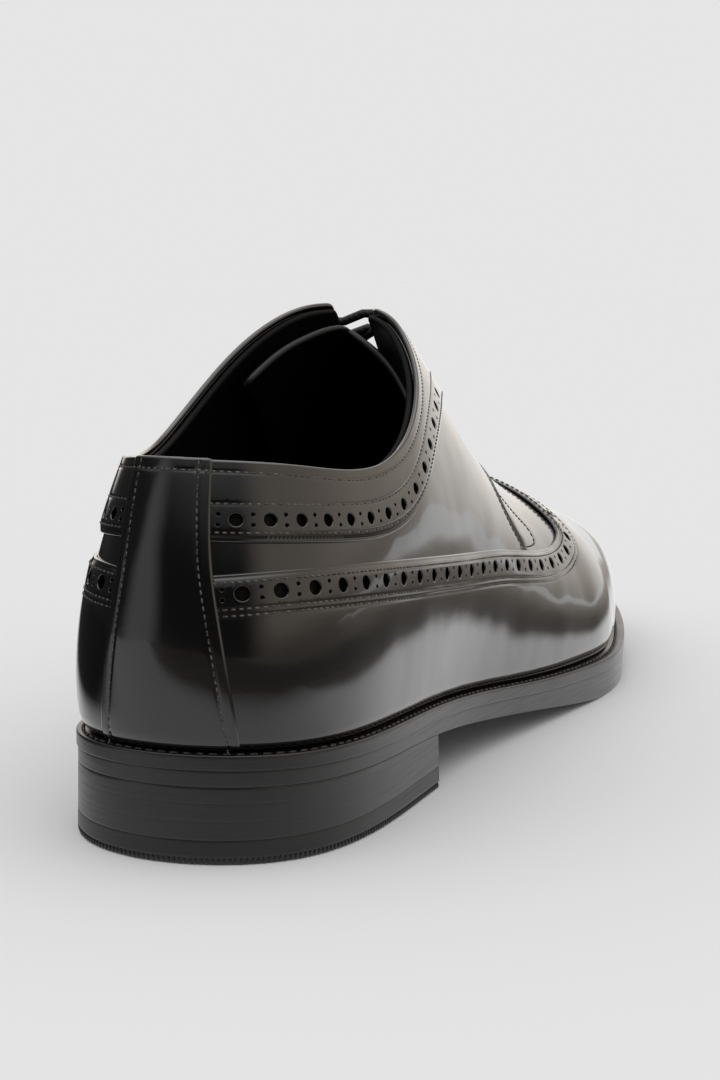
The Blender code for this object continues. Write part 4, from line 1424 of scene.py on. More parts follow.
# %% Lining
LINING_OUT = -0.55
LINING_DROP = 0.3
TOE_POINTS = 60
CREST_POINTS = 110
FOOT_POINTS = 600
lateral_top = trim_path(1, THROAT_TURN, 0.0, LINING_DROP)
medial_top = trim_path(-1, THROAT_TURN, 0.0, LINING_DROP)
lateral_top[0] = medial_top[0] = (math.radians(THROAT_TURN), 1.0)
lateral_top[-1, 0] = 0.0
foot_side = np.stack([np.linspace(-math.pi, math.pi, FOOT_POINTS), np.zeros(FOOT_POINTS)], -1)
toe_side = np.stack([np.full(TOE_POINTS, math.pi), np.linspace(0, 1, TOE_POINTS)], -1)
crest_turns = np.radians(np.linspace(180.0, THROAT_TURN, CREST_POINTS))
crest_side = np.stack([crest_turns, np.ones(CREST_POINTS)], -1)
lining_loop = joined(foot_side, toe_side, crest_side, lateral_top, mirrored(medial_top)[::-1][1:],
                     mirrored(crest_side)[::-1], mirrored(toe_side)[::-1])
lining = cut_panel("upper_lining", lining_loop, LINING_OUT, -LEATHER, lining_leather, grid=2.0, rounding=0.7)

# %% [markdown]
# ## Tongue
# The tongue is a curved tab with a soft round rim that rises between the facings, its foot under the vamp. A
# cloth simulation could drape it, but it is stiff and lies under a form that is known. So it is a grid of
# points under the throat: each row is a spline through a few marks across it, and its corners sag.

# %% Tongue
TONGUE_TOP = 121.0
TONGUE_FOOT = 196.0
TONGUE_THICK = 2.0
TONGUE_RIM = 0.95
TONGUE_CLEAR = 1.0
TONGUE_ROUND = 10.0
TONGUE_TAPER = 0.18
TONGUE_SAG_LATERAL = 11.0
TONGUE_SAG_MEDIAL = 22.0
TONGUE_LATERAL = 27.0
TONGUE_MEDIAL = 22.0
TONGUE_MARKS = (-22.0, -16.5, -11.0, -5.5, 0.0, 7.0, 13.0, 20.0, 27.0)
TONGUE_LINES = 44
TONGUE_ACROSS = 41
BELOW_CROWN = 0.97
THROAT_SECTION = np.linspace(0, 1, 401)


def over_throat(crown_along, across, reach_wanted, out):
    """A point by its distance across from the crown line, at the wall's height at the wanted reach."""
    turn = crown_turn(crown_along) * (1 if across >= 0 else -1)
    line = last_point(turn, THROAT_SECTION)
    share = share_at_reach(line, THROAT_SECTION, reach_wanted)
    flat = last_point(turn, share_at_reach(line, THROAT_SECTION, abs(across)))
    deep = last_point(turn, share)
    return np.array([flat[0], flat[1], deep[2]]) + last_normal(turn, min(share, BELOW_CROWN)) * out


def level_reach(crown_along, reach):
    """The medial reach where the wall is as high as the lateral wall is at a reach."""
    turn = crown_turn(crown_along)
    line = last_point(turn, THROAT_SECTION)
    height = last_point(turn, share_at_reach(line, THROAT_SECTION, reach))[2]
    other = last_point(-turn, THROAT_SECTION)
    past = int(np.argmax(other[:, 2] > height))
    return float(np.linalg.norm(other[past, :2] - other[-1, :2]))


def tongue_spot(part, across, lateral):
    """A point of the tongue's upper face: part 0 at its rim, 1 at its foot."""
    if lateral:
        sag = TONGUE_SAG_LATERAL * (across / TONGUE_LATERAL) ** 2
    else:
        sag = TONGUE_SAG_MEDIAL * (-across / TONGUE_MEDIAL) ** 1.2
    along = TONGUE_TOP + (TONGUE_FOOT - TONGUE_TOP) * part - sag * (1 - part) ** 2
    rounded = TONGUE_ROUND if lateral else level_reach(along, TONGUE_ROUND)
    narrow = across * (1.0 - TONGUE_TAPER * part)
    return over_throat(along, narrow, math.hypot(narrow, rounded), -LEATHER - TONGUE_CLEAR)


def grid_faces(rows, size, ring_rows=False, ring_size=True):
    """Four-sided faces between neighbours in rows of points, which may close to a ring either way."""
    faces = []
    for i in range(rows if ring_rows else rows - 1):
        k = (i + 1) % rows
        for j in range(size if ring_size else size - 1):
            m = (j + 1) % size
            faces.append((i * size + j, i * size + m, k * size + m, k * size + j))
    return faces


across_all = np.linspace(-TONGUE_MEDIAL, TONGUE_LATERAL, TONGUE_ACROSS)
middle = len(TONGUE_MARKS) // 2
tongue_grid = []
for part in np.linspace(0, 1, TONGUE_LINES):
    marks = np.array([tongue_spot(part, a, a >= 0) for a in TONGUE_MARKS])
    marks[middle] = (marks[middle] + tongue_spot(part, -0.001, False)) / 2
    tongue_grid.append(np.stack([spline(TONGUE_MARKS, marks[:, k])(across_all) for k in range(3)], -1))
tongue_grid = np.array(tongue_grid)
tongue_normal = unit(np.cross(np.gradient(tongue_grid, axis=1), np.gradient(tongue_grid, axis=0)))
tongue_normal = tongue_normal.reshape(-1, 3)
count = len(tongue_normal)
tongue = closed_skin("tongue_leather", tongue_grid.reshape(-1, 3), tongue_normal,
                     grid_faces(TONGUE_LINES, TONGUE_ACROSS, ring_size=False), 0.0, -TONGUE_THICK,
                     np.zeros(count), tongue_normal, np.full(count, TONGUE_RIM), tongue_calf)
print("tongue: %d faces" % len(tongue.data.polygons))

# %% [markdown]
# ## Sweeps along the outline
# Under the upper lie the welt, the outsole and the heel, all cut to one outline and trimmed flush. A curve
# with a bevel profile could sweep them, but their height changes all the way along. So each is swept from a
# short table: rows of inset, share of the height, offset in height and wear.

# %% Rings and plates
SHARP_DEG = 50.0


def flipped(faces):
    return [(a, d, c, b) for a, b, c, d in faces]


def swept_ring(name, turns, profile, look):
    """A closed ring round the shoe: profile gives insets, heights and wear at an array of turns."""
    insets, heights, worn = profile(turns)
    size = insets.shape[1]
    flat = outline(np.repeat(turns, size), insets.ravel())
    points = np.concatenate([flat, heights.reshape(-1, 1)], -1)
    faces = flipped(grid_faces(len(turns), size, ring_rows=True))
    piece = mesh_piece(name, points, faces, look, sharp_deg=SHARP_DEG)
    give_values(piece.data, "worn", worn.ravel())
    return piece


def swept_plate(name, alongs, profile, look, across=6):
    """A closed plate across the shoe: profile gives insets, heights and wear from below to above."""
    insets, heights, worn = profile(alongs)
    size = insets.shape[1]
    turns = turn_at(alongs)
    lateral = [outline(turns, insets[:, k]) for k in range(size)]
    medial = [outline(-turns, insets[:, k]) for k in range(size)]
    part = np.linspace(0, 1, across + 1)[1:-1]
    # Each line of the loop round the plate goes with the row of the table that gives its height
    loop = [(lateral[k], k) for k in range(size)]
    loop += [(lateral[-1] * (1 - p) + medial[-1] * p, -1) for p in part]
    loop += [(medial[k], k) for k in reversed(range(size))]
    loop += [(medial[0] * (1 - p) + lateral[0] * p, 0) for p in part]
    table_rows = [k for _, k in loop]
    flat = np.stack([line for line, _ in loop], 1)
    points = np.concatenate([flat, heights[:, table_rows, None]], -1).reshape(-1, 3)
    faces = flipped(grid_faces(len(alongs), len(loop)))
    for end in (0, (len(alongs) - 1) * len(loop)):
        opposite = [end + 2 * size + len(part) - 1 - k for k in range(size)]
        faces += [(end + k, end + k + 1, opposite[k + 1], opposite[k]) for k in range(size - 2)]
        faces.append(tuple(end + k for k in range(size - 2, size + len(part) + 2)))
        below = [end + len(loop) - len(part) + k for k in range(len(part))]
        faces.append((opposite[0], *below, end))
    piece = mesh_piece(name, points, faces, look, sharp_deg=SHARP_DEG)
    give_values(piece.data, "worn", worn[:, table_rows].ravel())
    work = bmesh.new()
    work.from_mesh(piece.data)
    bmesh.ops.recalc_face_normals(work, faces=work.faces)
    work.to_mesh(piece.data)
    work.free()
    return piece


def stations(end, count, first_turn=0.02):
    """Distances along the shoe, closer together at the rounded heel end."""
    return along_of(np.linspace(first_turn, float(turn_at(end)), count))


def both_ends(half):
    """Stations from the heel to the middle, and the same from the middle to the toe."""
    return np.concatenate([half[:-1], LENGTH - half[::-1]])


def table_profile(rows, low, high, inset=0.0):
    """Insets, heights and wear at each station between two heights; a row without wear has none."""
    rows = np.array([(*row, 0.0)[:4] for row in rows])
    ones = np.ones((len(low), 1))
    heights = low[:, None] * (1 - rows[:, 1]) + high[:, None] * rows[:, 1] + rows[:, 2]
    return (rows[:, 0] + inset) * ones, heights, rows[:, 3] * ones


print("first station at the heel: %.2f mm along" % stations(LENGTH / 2, 2)[0])

# %% [markdown]
# ## Welt
# The welt is a strip sewn round the upper, and the sole is sewn to it. Its top shows in front of the upper,
# with a channel for the stitches, and its lower edge is rubbed brown from the waist forward. A bevelled curve
# would keep one width, but the ledge widens towards the toe, so it is a ring with its profile at every turn.

# %% Welt
WELT_THICK = 3.2
WELT_WIDTH = 9.5
RING_TURNS = np.linspace(0, 2 * math.pi, 540, endpoint=False)
STITCH_INSET = 0.56
CHANNEL_WIDE = 0.45
CHANNEL_DEEP = 0.30
RUBBED_FROM = 95.0
RUBBED_TO = 160.0
# Edge of the welt from below: inset, share of the height, offset in height, wear
WELT_ROWS = (
    (0.30, 0.0, 0.0, 0.5), (0.06, 0.0, 0.04, 0.45), (0.0, 0.0, 0.16, 0.3), (0.0, 0.0, 0.5), (0.0, 1.0, -0.8),
    (0.0, 1.0, -0.45), (0.06, 1.0, -0.22), (0.22, 1.0, -0.06), (0.45, 1.0, 0.0), (0.75, 1.0, 0.0),
)


def rubbed(worn, along):
    """Wear that shows only from the waist of the sole forward."""
    return worn * np.clip((along - RUBBED_FROM) / (RUBBED_TO - RUBBED_FROM), 0, 1)[:, None]


def welt_profile(turns):
    along = along_of(turns)
    top = rim_height(along)
    insets, heights, worn = table_profile(WELT_ROWS, top - WELT_THICK, top)
    stitch = ledge(along) * STITCH_INSET
    inner = np.full(len(turns), WELT_WIDTH)
    ledge_in = np.stack([stitch - CHANNEL_WIDE, stitch, stitch + CHANNEL_WIDE, inner, inner], -1)
    ledge_up = np.stack([top, top - CHANNEL_DEEP, top, top, top - WELT_THICK], -1)
    worn = rubbed(np.concatenate([worn, 0 * ledge_in], 1), along)
    return np.concatenate([insets, ledge_in], 1), np.concatenate([heights, ledge_up], 1), worn


welt = swept_ring("welt_strip", RING_TURNS, welt_profile, welt_edge)
print("welt: %d faces" % len(welt.data.polygons))

# %% [markdown]
# ## Outsole
# The outsole is one thick leather plate that rises at the waist and lifts at the toe. Its edge is trimmed a
# little inside the welt's, which leaves a fine line between the two. A flat plate could be bent with a
# Lattice, but swept across the shoe it keeps both faces smooth while its thickness follows the table.

# %% Outsole
SOLE_STEP = 0.3
SOLE_GAP = 0.03
# Edge of the sole from below: inset, share of the height, offset in height, wear
SOLE_ROWS = (
    (9.0, 0.0, 0.0), (1.2, 0.0, 0.0), (0.25, 0.0, 0.01), (0.03, 0.0, 0.05), (0.0, 0.0, 0.18), (0.0, 0.0, 0.6),
    (0.0, 1.0, -0.6), (0.0, 1.0, -0.16, 0.4), (0.03, 1.0, -0.05, 0.5), (0.25, 1.0, 0.0, 0.6),
)


def sole_profile(along):
    low = np.maximum(0.0, sole_low(along))
    high = rim_height(along) - WELT_THICK - SOLE_GAP
    insets, heights, worn = table_profile(SOLE_ROWS, low, high, SOLE_STEP)
    return insets, heights, rubbed(worn, along)


sole = swept_plate("sole_plate", both_ends(stations(LENGTH / 2, 130)), sole_profile, sole_edge, across=16)
print("outsole: %d faces" % len(sole.data.polygons))

# %% [markdown]
# ## Heel
# A heel is stacked from leather lifts and ends in a rubber top piece that takes the wear. The lifts are
# pressed and trimmed as one, so only hair lines part them. Separate plates would hide all but their edges, so
# the stack is one sweep with fine grooves in its table, and the rubber is a second one.

# %% Heel lifts and rubber top piece
HEEL_BREAST = 73.0
TOP_PIECE = 5.0
HEEL_FLARE = 0.3
HEEL_GAP = 0.02
LIFTS = (0.36, 0.70)
# Rows round each hair line: inset, offset in height
LIFT_LINE = ((0.0, -0.5), (0.0, -0.16), (0.02, 0.0), (0.0, 0.16), (0.0, 0.5))
heel_foot = -HEEL_FLARE * 0.7
heel_rows = [(1.2, 0.0, 0.0), (heel_foot + 0.04, 0.0, 0.02), (heel_foot, 0.0, 0.12), (heel_foot, 0.0, 0.5)]
for lift in LIFTS:
    heel_rows += [(heel_foot * (1 - lift) + groove, lift, offset) for groove, offset in LIFT_LINE]
heel_rows += [(0.0, 1.0, -0.6), (0.0, 1.0, -0.14), (0.05, 1.0, -0.02), (1.5, 1.0, 0.0)]
# Edge of the rubber from below: inset, share of the height, offset in height
TOP_ROWS = (
    (1.4, 0.0, 0.0), (0.5, 0.0, 0.08), (0.3, 0.0, 0.5), (0.25, 0.0, 1.35), (0.0, 0.0, 1.6), (0.0, 0.0, 2.0),
    (HEEL_FLARE * 0.25, 1.0, -0.5), (HEEL_FLARE * 0.3, 1.0, -0.12), (HEEL_FLARE * 0.4, 1.0, -0.02),
    (HEEL_FLARE + 0.8, 1.0, 0.0),
)


def heel_profile(along):
    return table_profile(heel_rows, np.full(len(along), TOP_PIECE), sole_low(along) - HEEL_GAP, SOLE_STEP)


def top_piece_profile(along):
    high = np.full(len(along), TOP_PIECE - HEEL_GAP)
    return table_profile(TOP_ROWS, np.zeros(len(along)), high, SOLE_STEP - HEEL_FLARE)


heel_alongs = stations(HEEL_BREAST, 110)
heel = swept_plate("heel_lifts", heel_alongs, heel_profile, heel_edge)
top_piece = swept_plate("heel_rubber", heel_alongs, top_piece_profile, top_rubber)
print("heel: %d faces, rubber: %d faces" % (len(heel.data.polygons), len(top_piece.data.polygons)))

# %% [markdown]
# ## Sock
# A thin sock of leather covers the insole inside the shoe. A flat plane would do for the little that shows,
# but a plate like the sole's, set inside the lining, closes the inside to the wall and dips a little towards
# its middle, where a foot presses it.

# %% Sock on the insole
INSOLE_THICK = 2.6
# Edge of the sock from below: inset, share of the height, offset in height
SOCK_ROWS = (
    (1.2, 0.0, 0.0), (0.7, 0.0, 0.4), (0.5, 1.0, -0.5), (0.9, 1.0, 0.0), (3.0, 1.0, -0.25), (7.0, 1.0, -0.6),
)


def sock_profile(along):
    low = rim_height(along) + JOINT
    insets, heights, worn = table_profile(SOCK_ROWS, low, low + INSOLE_THICK, LEATHER)
    return insets + ledge(along)[:, None], heights, worn


sock = swept_plate("sock", both_ends(stations(LENGTH / 2, 70, 0.03)), sock_profile, sock_leather, across=14)
print("sock: %d faces" % len(sock.data.polygons))

# %% [markdown]
# ## Lace
# A round waxed lace crosses between the facings and goes down into each eyelet, with a straight bar at the
# top and at the foot. Its ends lie out of sight inside the shoe, so it stops at the top eyelets. A curve with
# a round bevel would do as well. Here each run is a tube along points over the throat, which keeps it clear
# of the leather that it crosses, and one of each crossing pair is humped over the other.

# %% Lace runs
LACE_RADIUS = 1.1
LACE_SIDES = 12
LACE_POINTS = 17
LACE_OVER = PANEL_OUT + LACE_RADIUS + 0.25
LACE_LEVEL = 4.4
LACE_SINK = 3.4
LACE_SINK_RUN = 2.2
LACE_HUMP = 1.5
TUBE_UP = (0.0, 0.35, 1.0)


def lace_run(start_row, end_row, start_side):
    """Points of one run, from inside one eyelet over the facings into another."""
    points = []
    for part in np.linspace(0, 1, LACE_POINTS):
        across = start_side * EYELET_OFFSET * (1 - 2 * part)
        row = start_row + (end_row - start_row) * part
        level = max(abs(across), LACE_LEVEL)
        sink = max(0.0, (abs(across) - EYELET_OFFSET + LACE_SINK_RUN) / LACE_SINK_RUN)
        points.append(over_throat(row, across, level, LACE_OVER - LACE_SINK * sink ** 2))
    return np.array(points)


def tube(points, radius, sides):
    """Points and faces of a closed tube along a line."""
    heading = unit(np.gradient(points, axis=0))
    side = unit(np.cross(heading, TUBE_UP))
    up = np.cross(side, heading)
    angle = np.linspace(0, 2 * math.pi, sides, endpoint=False)
    ring = side[:, None] * np.cos(angle)[None, :, None] + up[:, None] * np.sin(angle)[None, :, None]
    spots = (points[:, None] + ring * radius).reshape(-1, 3)
    ends = [tuple(reversed(range(sides))), tuple(range(len(spots) - sides, len(spots)))]
    return spots, ends + grid_faces(len(points), sides)


lace_lines = [lace_run(row, row, 1) for row in (LACE_ROWS[0], LACE_ROWS[-1])]
hump = np.sin(np.linspace(0, math.pi, LACE_POINTS)) ** 2 * LACE_RADIUS * LACE_HUMP
for first_row, second_row in zip(LACE_ROWS[:-1], LACE_ROWS[1:]):
    lace_lines.append(lace_run(first_row, second_row, 1))
    lace_lines.append(lace_run(first_row, second_row, -1) + hump[:, None] * (0.0, 0.0, 1.0))
lace_points = []
lace_faces = []
for line in lace_lines:
    spots, faces = tube(line, LACE_RADIUS, LACE_SIDES)
    lace_faces += [tuple(len(lace_points) + v for v in f) for f in faces]
    lace_points += spots.tolist()
lace = mesh_piece("lace_runs", lace_points, lace_faces, lace_cotton)
print("lace runs:", len(lace_lines))

# %% [markdown]
# ## A tree that repeats a shape
# A seam is one small shape repeated along a line, which is what Geometry Nodes do best. The tree takes a line
# of edges that carries an "up" vector at each point, spaces points along it, sets a stitch on each one so
# that it lies along the seam and faces out of the leather, and makes the copies real. The result is turned
# into a plain mesh, so nothing is left to evaluate later.


# %% The tree that repeats a shape along a line
def repeat_tree():
    """The tree, with named inputs for the spacing, the three sizes and the finish of the shape."""
    tree = bpy.data.node_groups.new("repeat along a line", "GeometryNodeTree")
    face = tree.interface
    face.new_socket("Geometry", in_out="INPUT", socket_type="NodeSocketGeometry")
    for socket in ("Pitch", "Long", "Wide", "High"):
        face.new_socket(socket, in_out="INPUT", socket_type="NodeSocketFloat")
    face.new_socket("Finish", in_out="INPUT", socket_type="NodeSocketMaterial")
    face.new_socket("Geometry", in_out="OUTPUT", socket_type="NodeSocketGeometry")
    given = add(tree, "NodeGroupInput").outputs
    line = add(tree, "GeometryNodeMeshToCurve", {"Mesh": given["Geometry"]})
    beads = add(tree, "GeometryNodeResampleCurve", {"Curve": line.outputs[0], "Length": given["Pitch"]},
                mode="LENGTH")
    ball = add(tree, "GeometryNodeMeshUVSphere", {"Segments": 8, "Rings": 5, "Radius": 1.0})
    heading = add(tree, "GeometryNodeInputTangent")
    up = add(tree, "GeometryNodeInputNamedAttribute", {"Name": "up"}, data_type="FLOAT_VECTOR")
    along = add(tree, "FunctionNodeAlignRotationToVector", {"Vector": heading.outputs[0]}, axis="X")
    facing = add(tree, "FunctionNodeAlignRotationToVector",
                 {"Rotation": along.outputs[0], "Vector": up.outputs[0]}, axis="Z", pivot_axis="X")
    size = add(tree, "ShaderNodeCombineXYZ", {"X": given["Long"], "Y": given["Wide"], "Z": given["High"]})
    copies = add(tree, "GeometryNodeInstanceOnPoints",
                 {"Points": beads.outputs[0], "Instance": ball.outputs[0],
                  "Rotation": facing.outputs[0], "Scale": size.outputs[0]})
    real = add(tree, "GeometryNodeRealizeInstances", {"Geometry": copies.outputs[0]})
    smooth = add(tree, "GeometryNodeSetShadeSmooth", {"Geometry": real.outputs[0]})
    finished = add(tree, "GeometryNodeSetMaterial",
                   {"Geometry": smooth.outputs[0], "Material": given["Finish"]})
    add(tree, "NodeGroupOutput", {"Geometry": finished.outputs[0]})
    return tree


repeat = repeat_tree()


def repeated(name, lines, sizes, finish):
    """A plain mesh of shapes along lines of points and up vectors; sizes are pitch, length, width, height."""
    edges = []
    start = 0
    for p, _ in lines:
        edges += [(start + i, start + i + 1) for i in range(len(p) - 1)]
        start += len(p)
    guide = bpy.data.meshes.new(name + " guide")
    guide.from_pydata(((np.concatenate([p for p, _ in lines]) - MIDDLE) * MM).tolist(), edges, [])
    give_values(guide, "up", np.concatenate([u for _, u in lines]))
    piece = bpy.data.objects.new(name, guide)
    bpy.context.scene.collection.objects.link(piece)
    modifier = piece.modifiers.new("repeat", "NODES")
    modifier.node_group = repeat
    pitch, long, wide, high = sizes
    values = {"Pitch": pitch * MM, "Long": long / 2 * MM, "Wide": wide / 2 * MM, "High": high / 2 * MM,
              "Finish": finish}
    for item in repeat.interface.items_tree:
        if item.in_out == "INPUT" and item.name in values:
            modifier[item.identifier] = values[item.name]
    piece.update_tag()
    bpy.context.view_layer.update()
    made = bpy.data.meshes.new_from_object(piece.evaluated_get(bpy.context.evaluated_depsgraph_get()))
    piece.modifiers.remove(modifier)
    piece.data = made
    print("%s: %d faces" % (name, len(made.polygons)))
    return piece


# %% [markdown]
# ## Seams of the upper
# Every seam is a row of short, tight stitches that lie half sunk in their channel. A texture could draw them,
# but they catch the light as beads do. All rows of the upper go through the tree at once and make one piece.

# %% Seams of the upper
UPPER_STITCH = (1.6, 1.22, 0.44, 0.352)
PANEL_SINK = 0.10
QUARTER_SINK = 0.06
CORNER_SINK = 0.04


def seam_line(path, out):
    """Points of a seam and the leather's normals there."""
    path = spaced(path, 0.8)
    normal = last_normal(path[:, 0], path[:, 1])
    return on_last(path) + normal * out, normal


seam_lines = []
for side, sign in SIDES:
    rows = [(p, PANEL_OUT - PANEL_SINK) for p in wing_seams[sign] + collar_seams[sign] + [top_row[sign]]]
    rows += [(quarter_row, -QUARTER_SINK), (corner_seam, -CORNER_SINK)]
    seam_lines += [seam_line(one_side(p, sign), out) for p, out in rows]
seam_lines += [seam_line(p, STRAP_OUT - PANEL_SINK) for p in strap_seams]
# The grey of these stitches is a painted highlight on black thread
stitches = repeated("upper_stitches", seam_lines, UPPER_STITCH, seam_thread_with_painted_highlight)

# %% [markdown]
# ## Welt stitches and heel ribs
# The sole's seam shows on the welt as longer stitches of thicker thread, and the foot of the rubber has fine
# upright ribs. They could be modelled one by one, but the same tree sets both, with other sizes: a rib is a
# stitch that stands across its line.

# %% Welt stitches and heel ribs
WELT_STITCH = (2.7, 2.1, 0.8, 0.75)
WELT_SINK = 0.12
HEEL_RIB = (1.15, 0.72, 1.5, 0.62)
RIB_HEIGHT = 0.8
RIB_INSET = 0.30
RIB_SHORT = 0.5
welt_run = np.linspace(0, 2 * math.pi, 900)
welt_spots = np.concatenate([outline(welt_run, ledge(along_of(welt_run)) * STITCH_INSET),
                             (rim_height(along_of(welt_run)) - WELT_SINK)[:, None]], -1)
welt_ups = np.tile((0.0, 0.0, 1.0), (len(welt_run), 1))
welt_stitches = repeated("welt_stitches", [(welt_spots, welt_ups)], WELT_STITCH, welt_thread)
rib_end = float(turn_at(HEEL_BREAST - RIB_SHORT))
rib_turns = np.linspace(-rib_end, rib_end, 500)
rib_level = np.full((len(rib_turns), 1), RIB_HEIGHT)
rib_spots = np.concatenate([outline(rib_turns, SOLE_STEP - HEEL_FLARE + RIB_INSET), rib_level], -1)
rib_out = outline(rib_turns, -1.0) - outline(rib_turns, 0.0)
rib_ups = np.concatenate([rib_out, 0 * rib_level], -1)
ribs = repeated("heel_ribs", [(rib_spots, rib_ups)], HEEL_RIB, top_rubber)

# %% [markdown]
# ## Giving the pieces to the frame
# Every piece rides on the shoe's one body, and the imported solids that it stands for are hidden. The table
# also names the record's material slot of each piece, but nothing here reads it. The calls could follow each
# piece, but one table shows that none is left out.

# %% Pieces and slots
GIVEN = (
    (quarter_pieces[0], "upper_leather", ("upper",)),
    (quarter_pieces[1], "upper_leather", ("upper",)),
    (vamp, "upper_leather", ("upper",)),
    (lining, "upper_leather", ("upper",)),
    (wing_tip, "panel_leather", ("wing_tip",)),
    (collar_pieces[0], "panel_leather", ("collar_panel_lateral",)),
    (collar_pieces[1], "panel_leather", ("collar_panel_medial",)),
    (back_strap, "panel_leather", ("back_strap",)),
    (tongue, "tongue_leather", ("tongue",)),
    (sock, "insole_leather", ("insole",)),
    (welt, "welt_leather", ("welt",)),
    (sole, "outsole_leather", ("outsole",)),
    (heel, "heel_leather", ("heel_stack",)),
    (top_piece, "top_piece_rubber", ("heel_top_piece",)),
    (ribs, "top_piece_rubber", ()),
    (lace, "lace_cotton", ("lace",)),
    (stitches, "upper_leather", ()),
    (welt_stitches, "welt_leather", ()),
)
for piece, slot, nodes in GIVEN:
    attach(piece, "root")
    if nodes:
        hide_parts(*nodes)
print("pieces:", len(GIVEN))

# %% [markdown]
# ## Camera
# The camera stands where the photograph was taken: behind the heel, to the lateral side and a little above.
# It could be turned by angles, but a place and an aim in millimetres on the last's own axes are easier to
# read. Two level directions, ahead of the viewer and to the right, are kept for the room around the shoe.

# %% Camera at the photograph's viewpoint
EYE = np.array([162.3, -385.0, 124.7]) - MIDDLE
AIM = np.array([-2.0, 131.0, 47.0]) - MIDDLE
LENS = 72.0
SENSOR = 36.0
view = bpy.data.cameras.new("viewpoint")
view.lens = LENS
view.sensor_width = SENSOR
view.clip_start = 0.01
camera = bpy.data.objects.new("viewpoint", view)
camera.location = EYE * MM
looking = Vector((AIM - EYE).tolist()).normalized()
camera.rotation_mode = "QUATERNION"
camera.rotation_quaternion = looking.to_track_quat("-Z", "Y")
bpy.context.scene.collection.objects.link(camera)
bpy.context.scene.camera = camera
AHEAD = Vector((looking.x, looking.y, 0.0)).normalized()
RIGHT = Vector((AHEAD.y, -AHEAD.x, 0.0))
UPWARD = Vector((0.0, 0.0, 1.0))
print("camera to aim: %.0f mm" % np.linalg.norm(AIM - EYE))

# %% [markdown]
# ## Paper floor
# Black glazed leather has almost no colour of its own: what the eye sees is the room in it. The shoe stands
# on pale, matt paper. A floor of one colour would leave the leather without its dark and light areas, so
# the paper's reflection is painted: soft steps along the room's directions lay one colour over another as a
# glow that only mirrored rays see, with painted shade near the shoe and darker painted tones past it.

# %% Paper floor
PAPER = "#E5E5E5"
# The colours below, up to the fibre size, are a painted reflection of the paper that only mirrored rays see:
# painted shade near the shoe, painted light to its right, and darker painted tones past it, the darkest to
# the left
SHADED_NEAR_REFLECTION = "#CACACA"
LIT_NEAR_REFLECTION = "#F4F4F4"
DARK_BACK_REFLECTION = "#5F5B57"
SIDE_FLOOR_REFLECTION = "#8B847C"
FRONT_FLOOR_REFLECTION = "#A39B92"
DARK_LEFT_REFLECTION = "#2A2A2C"
FIBRE_MM = 1.5
FLOOR_SIZE = 9.0


def lean(tree, vector, axis, start, end):
    """A soft step from 0 to 1 as a vector leans from start to end along an axis."""
    along = add(tree, "ShaderNodeVectorMath", {0: vector, 1: tuple(axis)}, operation="DOT_PRODUCT")
    return add(tree, "ShaderNodeMapRange",
               {"Value": along.outputs["Value"], "From Min": start, "From Max": end},
               interpolation_type="SMOOTHSTEP").outputs[0]


def laid_over(tree, vector, below, *layers):
    """Colours laid over what is below, each as far as a vector leans along all of its layer's axes."""
    for colour, *steps in layers:
        factor, *others = [lean(tree, vector, *step) for step in steps]
        for other in others:
            factor = add(tree, "ShaderNodeMath", {0: factor, 1: other}, operation="MULTIPLY").outputs[0]
        below = add(tree, "ShaderNodeMix", {"Factor": factor, FIRST: below, SECOND: colour},
                    data_type="RGBA").outputs[MIXED]
    return below


bpy.ops.mesh.primitive_plane_add(size=FLOOR_SIZE, location=(0.0, 0.0, 0.0))
floor = bpy.context.object
floor.name = "paper_floor"
# Matt paper gives an even pale ground that takes a soft shadow and has no shine
paper, tree, shader, place = new_material("matt backdrop paper")
fibres = add(tree, "ShaderNodeTexNoise", {"Vector": place, "Scale": per(FIBRE_MM), "Detail": 3.0})
bump = add(tree, "ShaderNodeBump", {"Height": fibres.outputs["Fac"], "Distance": 0.02 * MM, "Strength": 0.3})
feed(tree, shader, {"Normal": bump.outputs["Normal"], "Base Color": linear(PAPER), "Roughness": 0.95,
                    "Specular IOR Level": 0.0})
# Mirrored rays see a painted reflection of the paper: a darker grey of painted shade near the shoe, with
# painted light to its right
near_painted_reflection = laid_over(tree, place, linear(SHADED_NEAR_REFLECTION), (linear(LIT_NEAR_REFLECTION), (RIGHT, -0.02, 0.12)))
far_painted_reflection = laid_over(tree, place, linear(DARK_BACK_REFLECTION), (linear(SIDE_FLOOR_REFLECTION), (RIGHT, 0.30, 0.65)),
                   (linear(FRONT_FLOOR_REFLECTION), (AHEAD, 0.0, 0.45)))
# In the painted reflection the paper turns to darker tones a hand's width beside and behind the shoe, and
# goes on pale ahead of it
past_right = lean(tree, place, RIGHT, 0.110, 0.155)
past_back = lean(tree, place, RIGHT * 0.6 - AHEAD, 0.18, 0.33)
past = add(tree, "ShaderNodeMath", {0: past_right, 1: past_back}, operation="MAXIMUM").outputs[0]
not_ahead = lean(tree, place, -AHEAD, -0.85, -0.45)
past = add(tree, "ShaderNodeMath", {0: past, 1: not_ahead}, operation="MULTIPLY").outputs[0]
painted_floor_reflection = add(tree, "ShaderNodeMix", {"Factor": past, FIRST: near_painted_reflection, SECOND: far_painted_reflection},
                     data_type="RGBA").outputs[MIXED]
# The darkest painted reflection lies to the left of the shoe and behind it
painted_floor_reflection = laid_over(tree, place, painted_floor_reflection,
                           (linear(DARK_LEFT_REFLECTION), (-RIGHT, 0.12, 0.17), (AHEAD, -0.17, -0.08)))
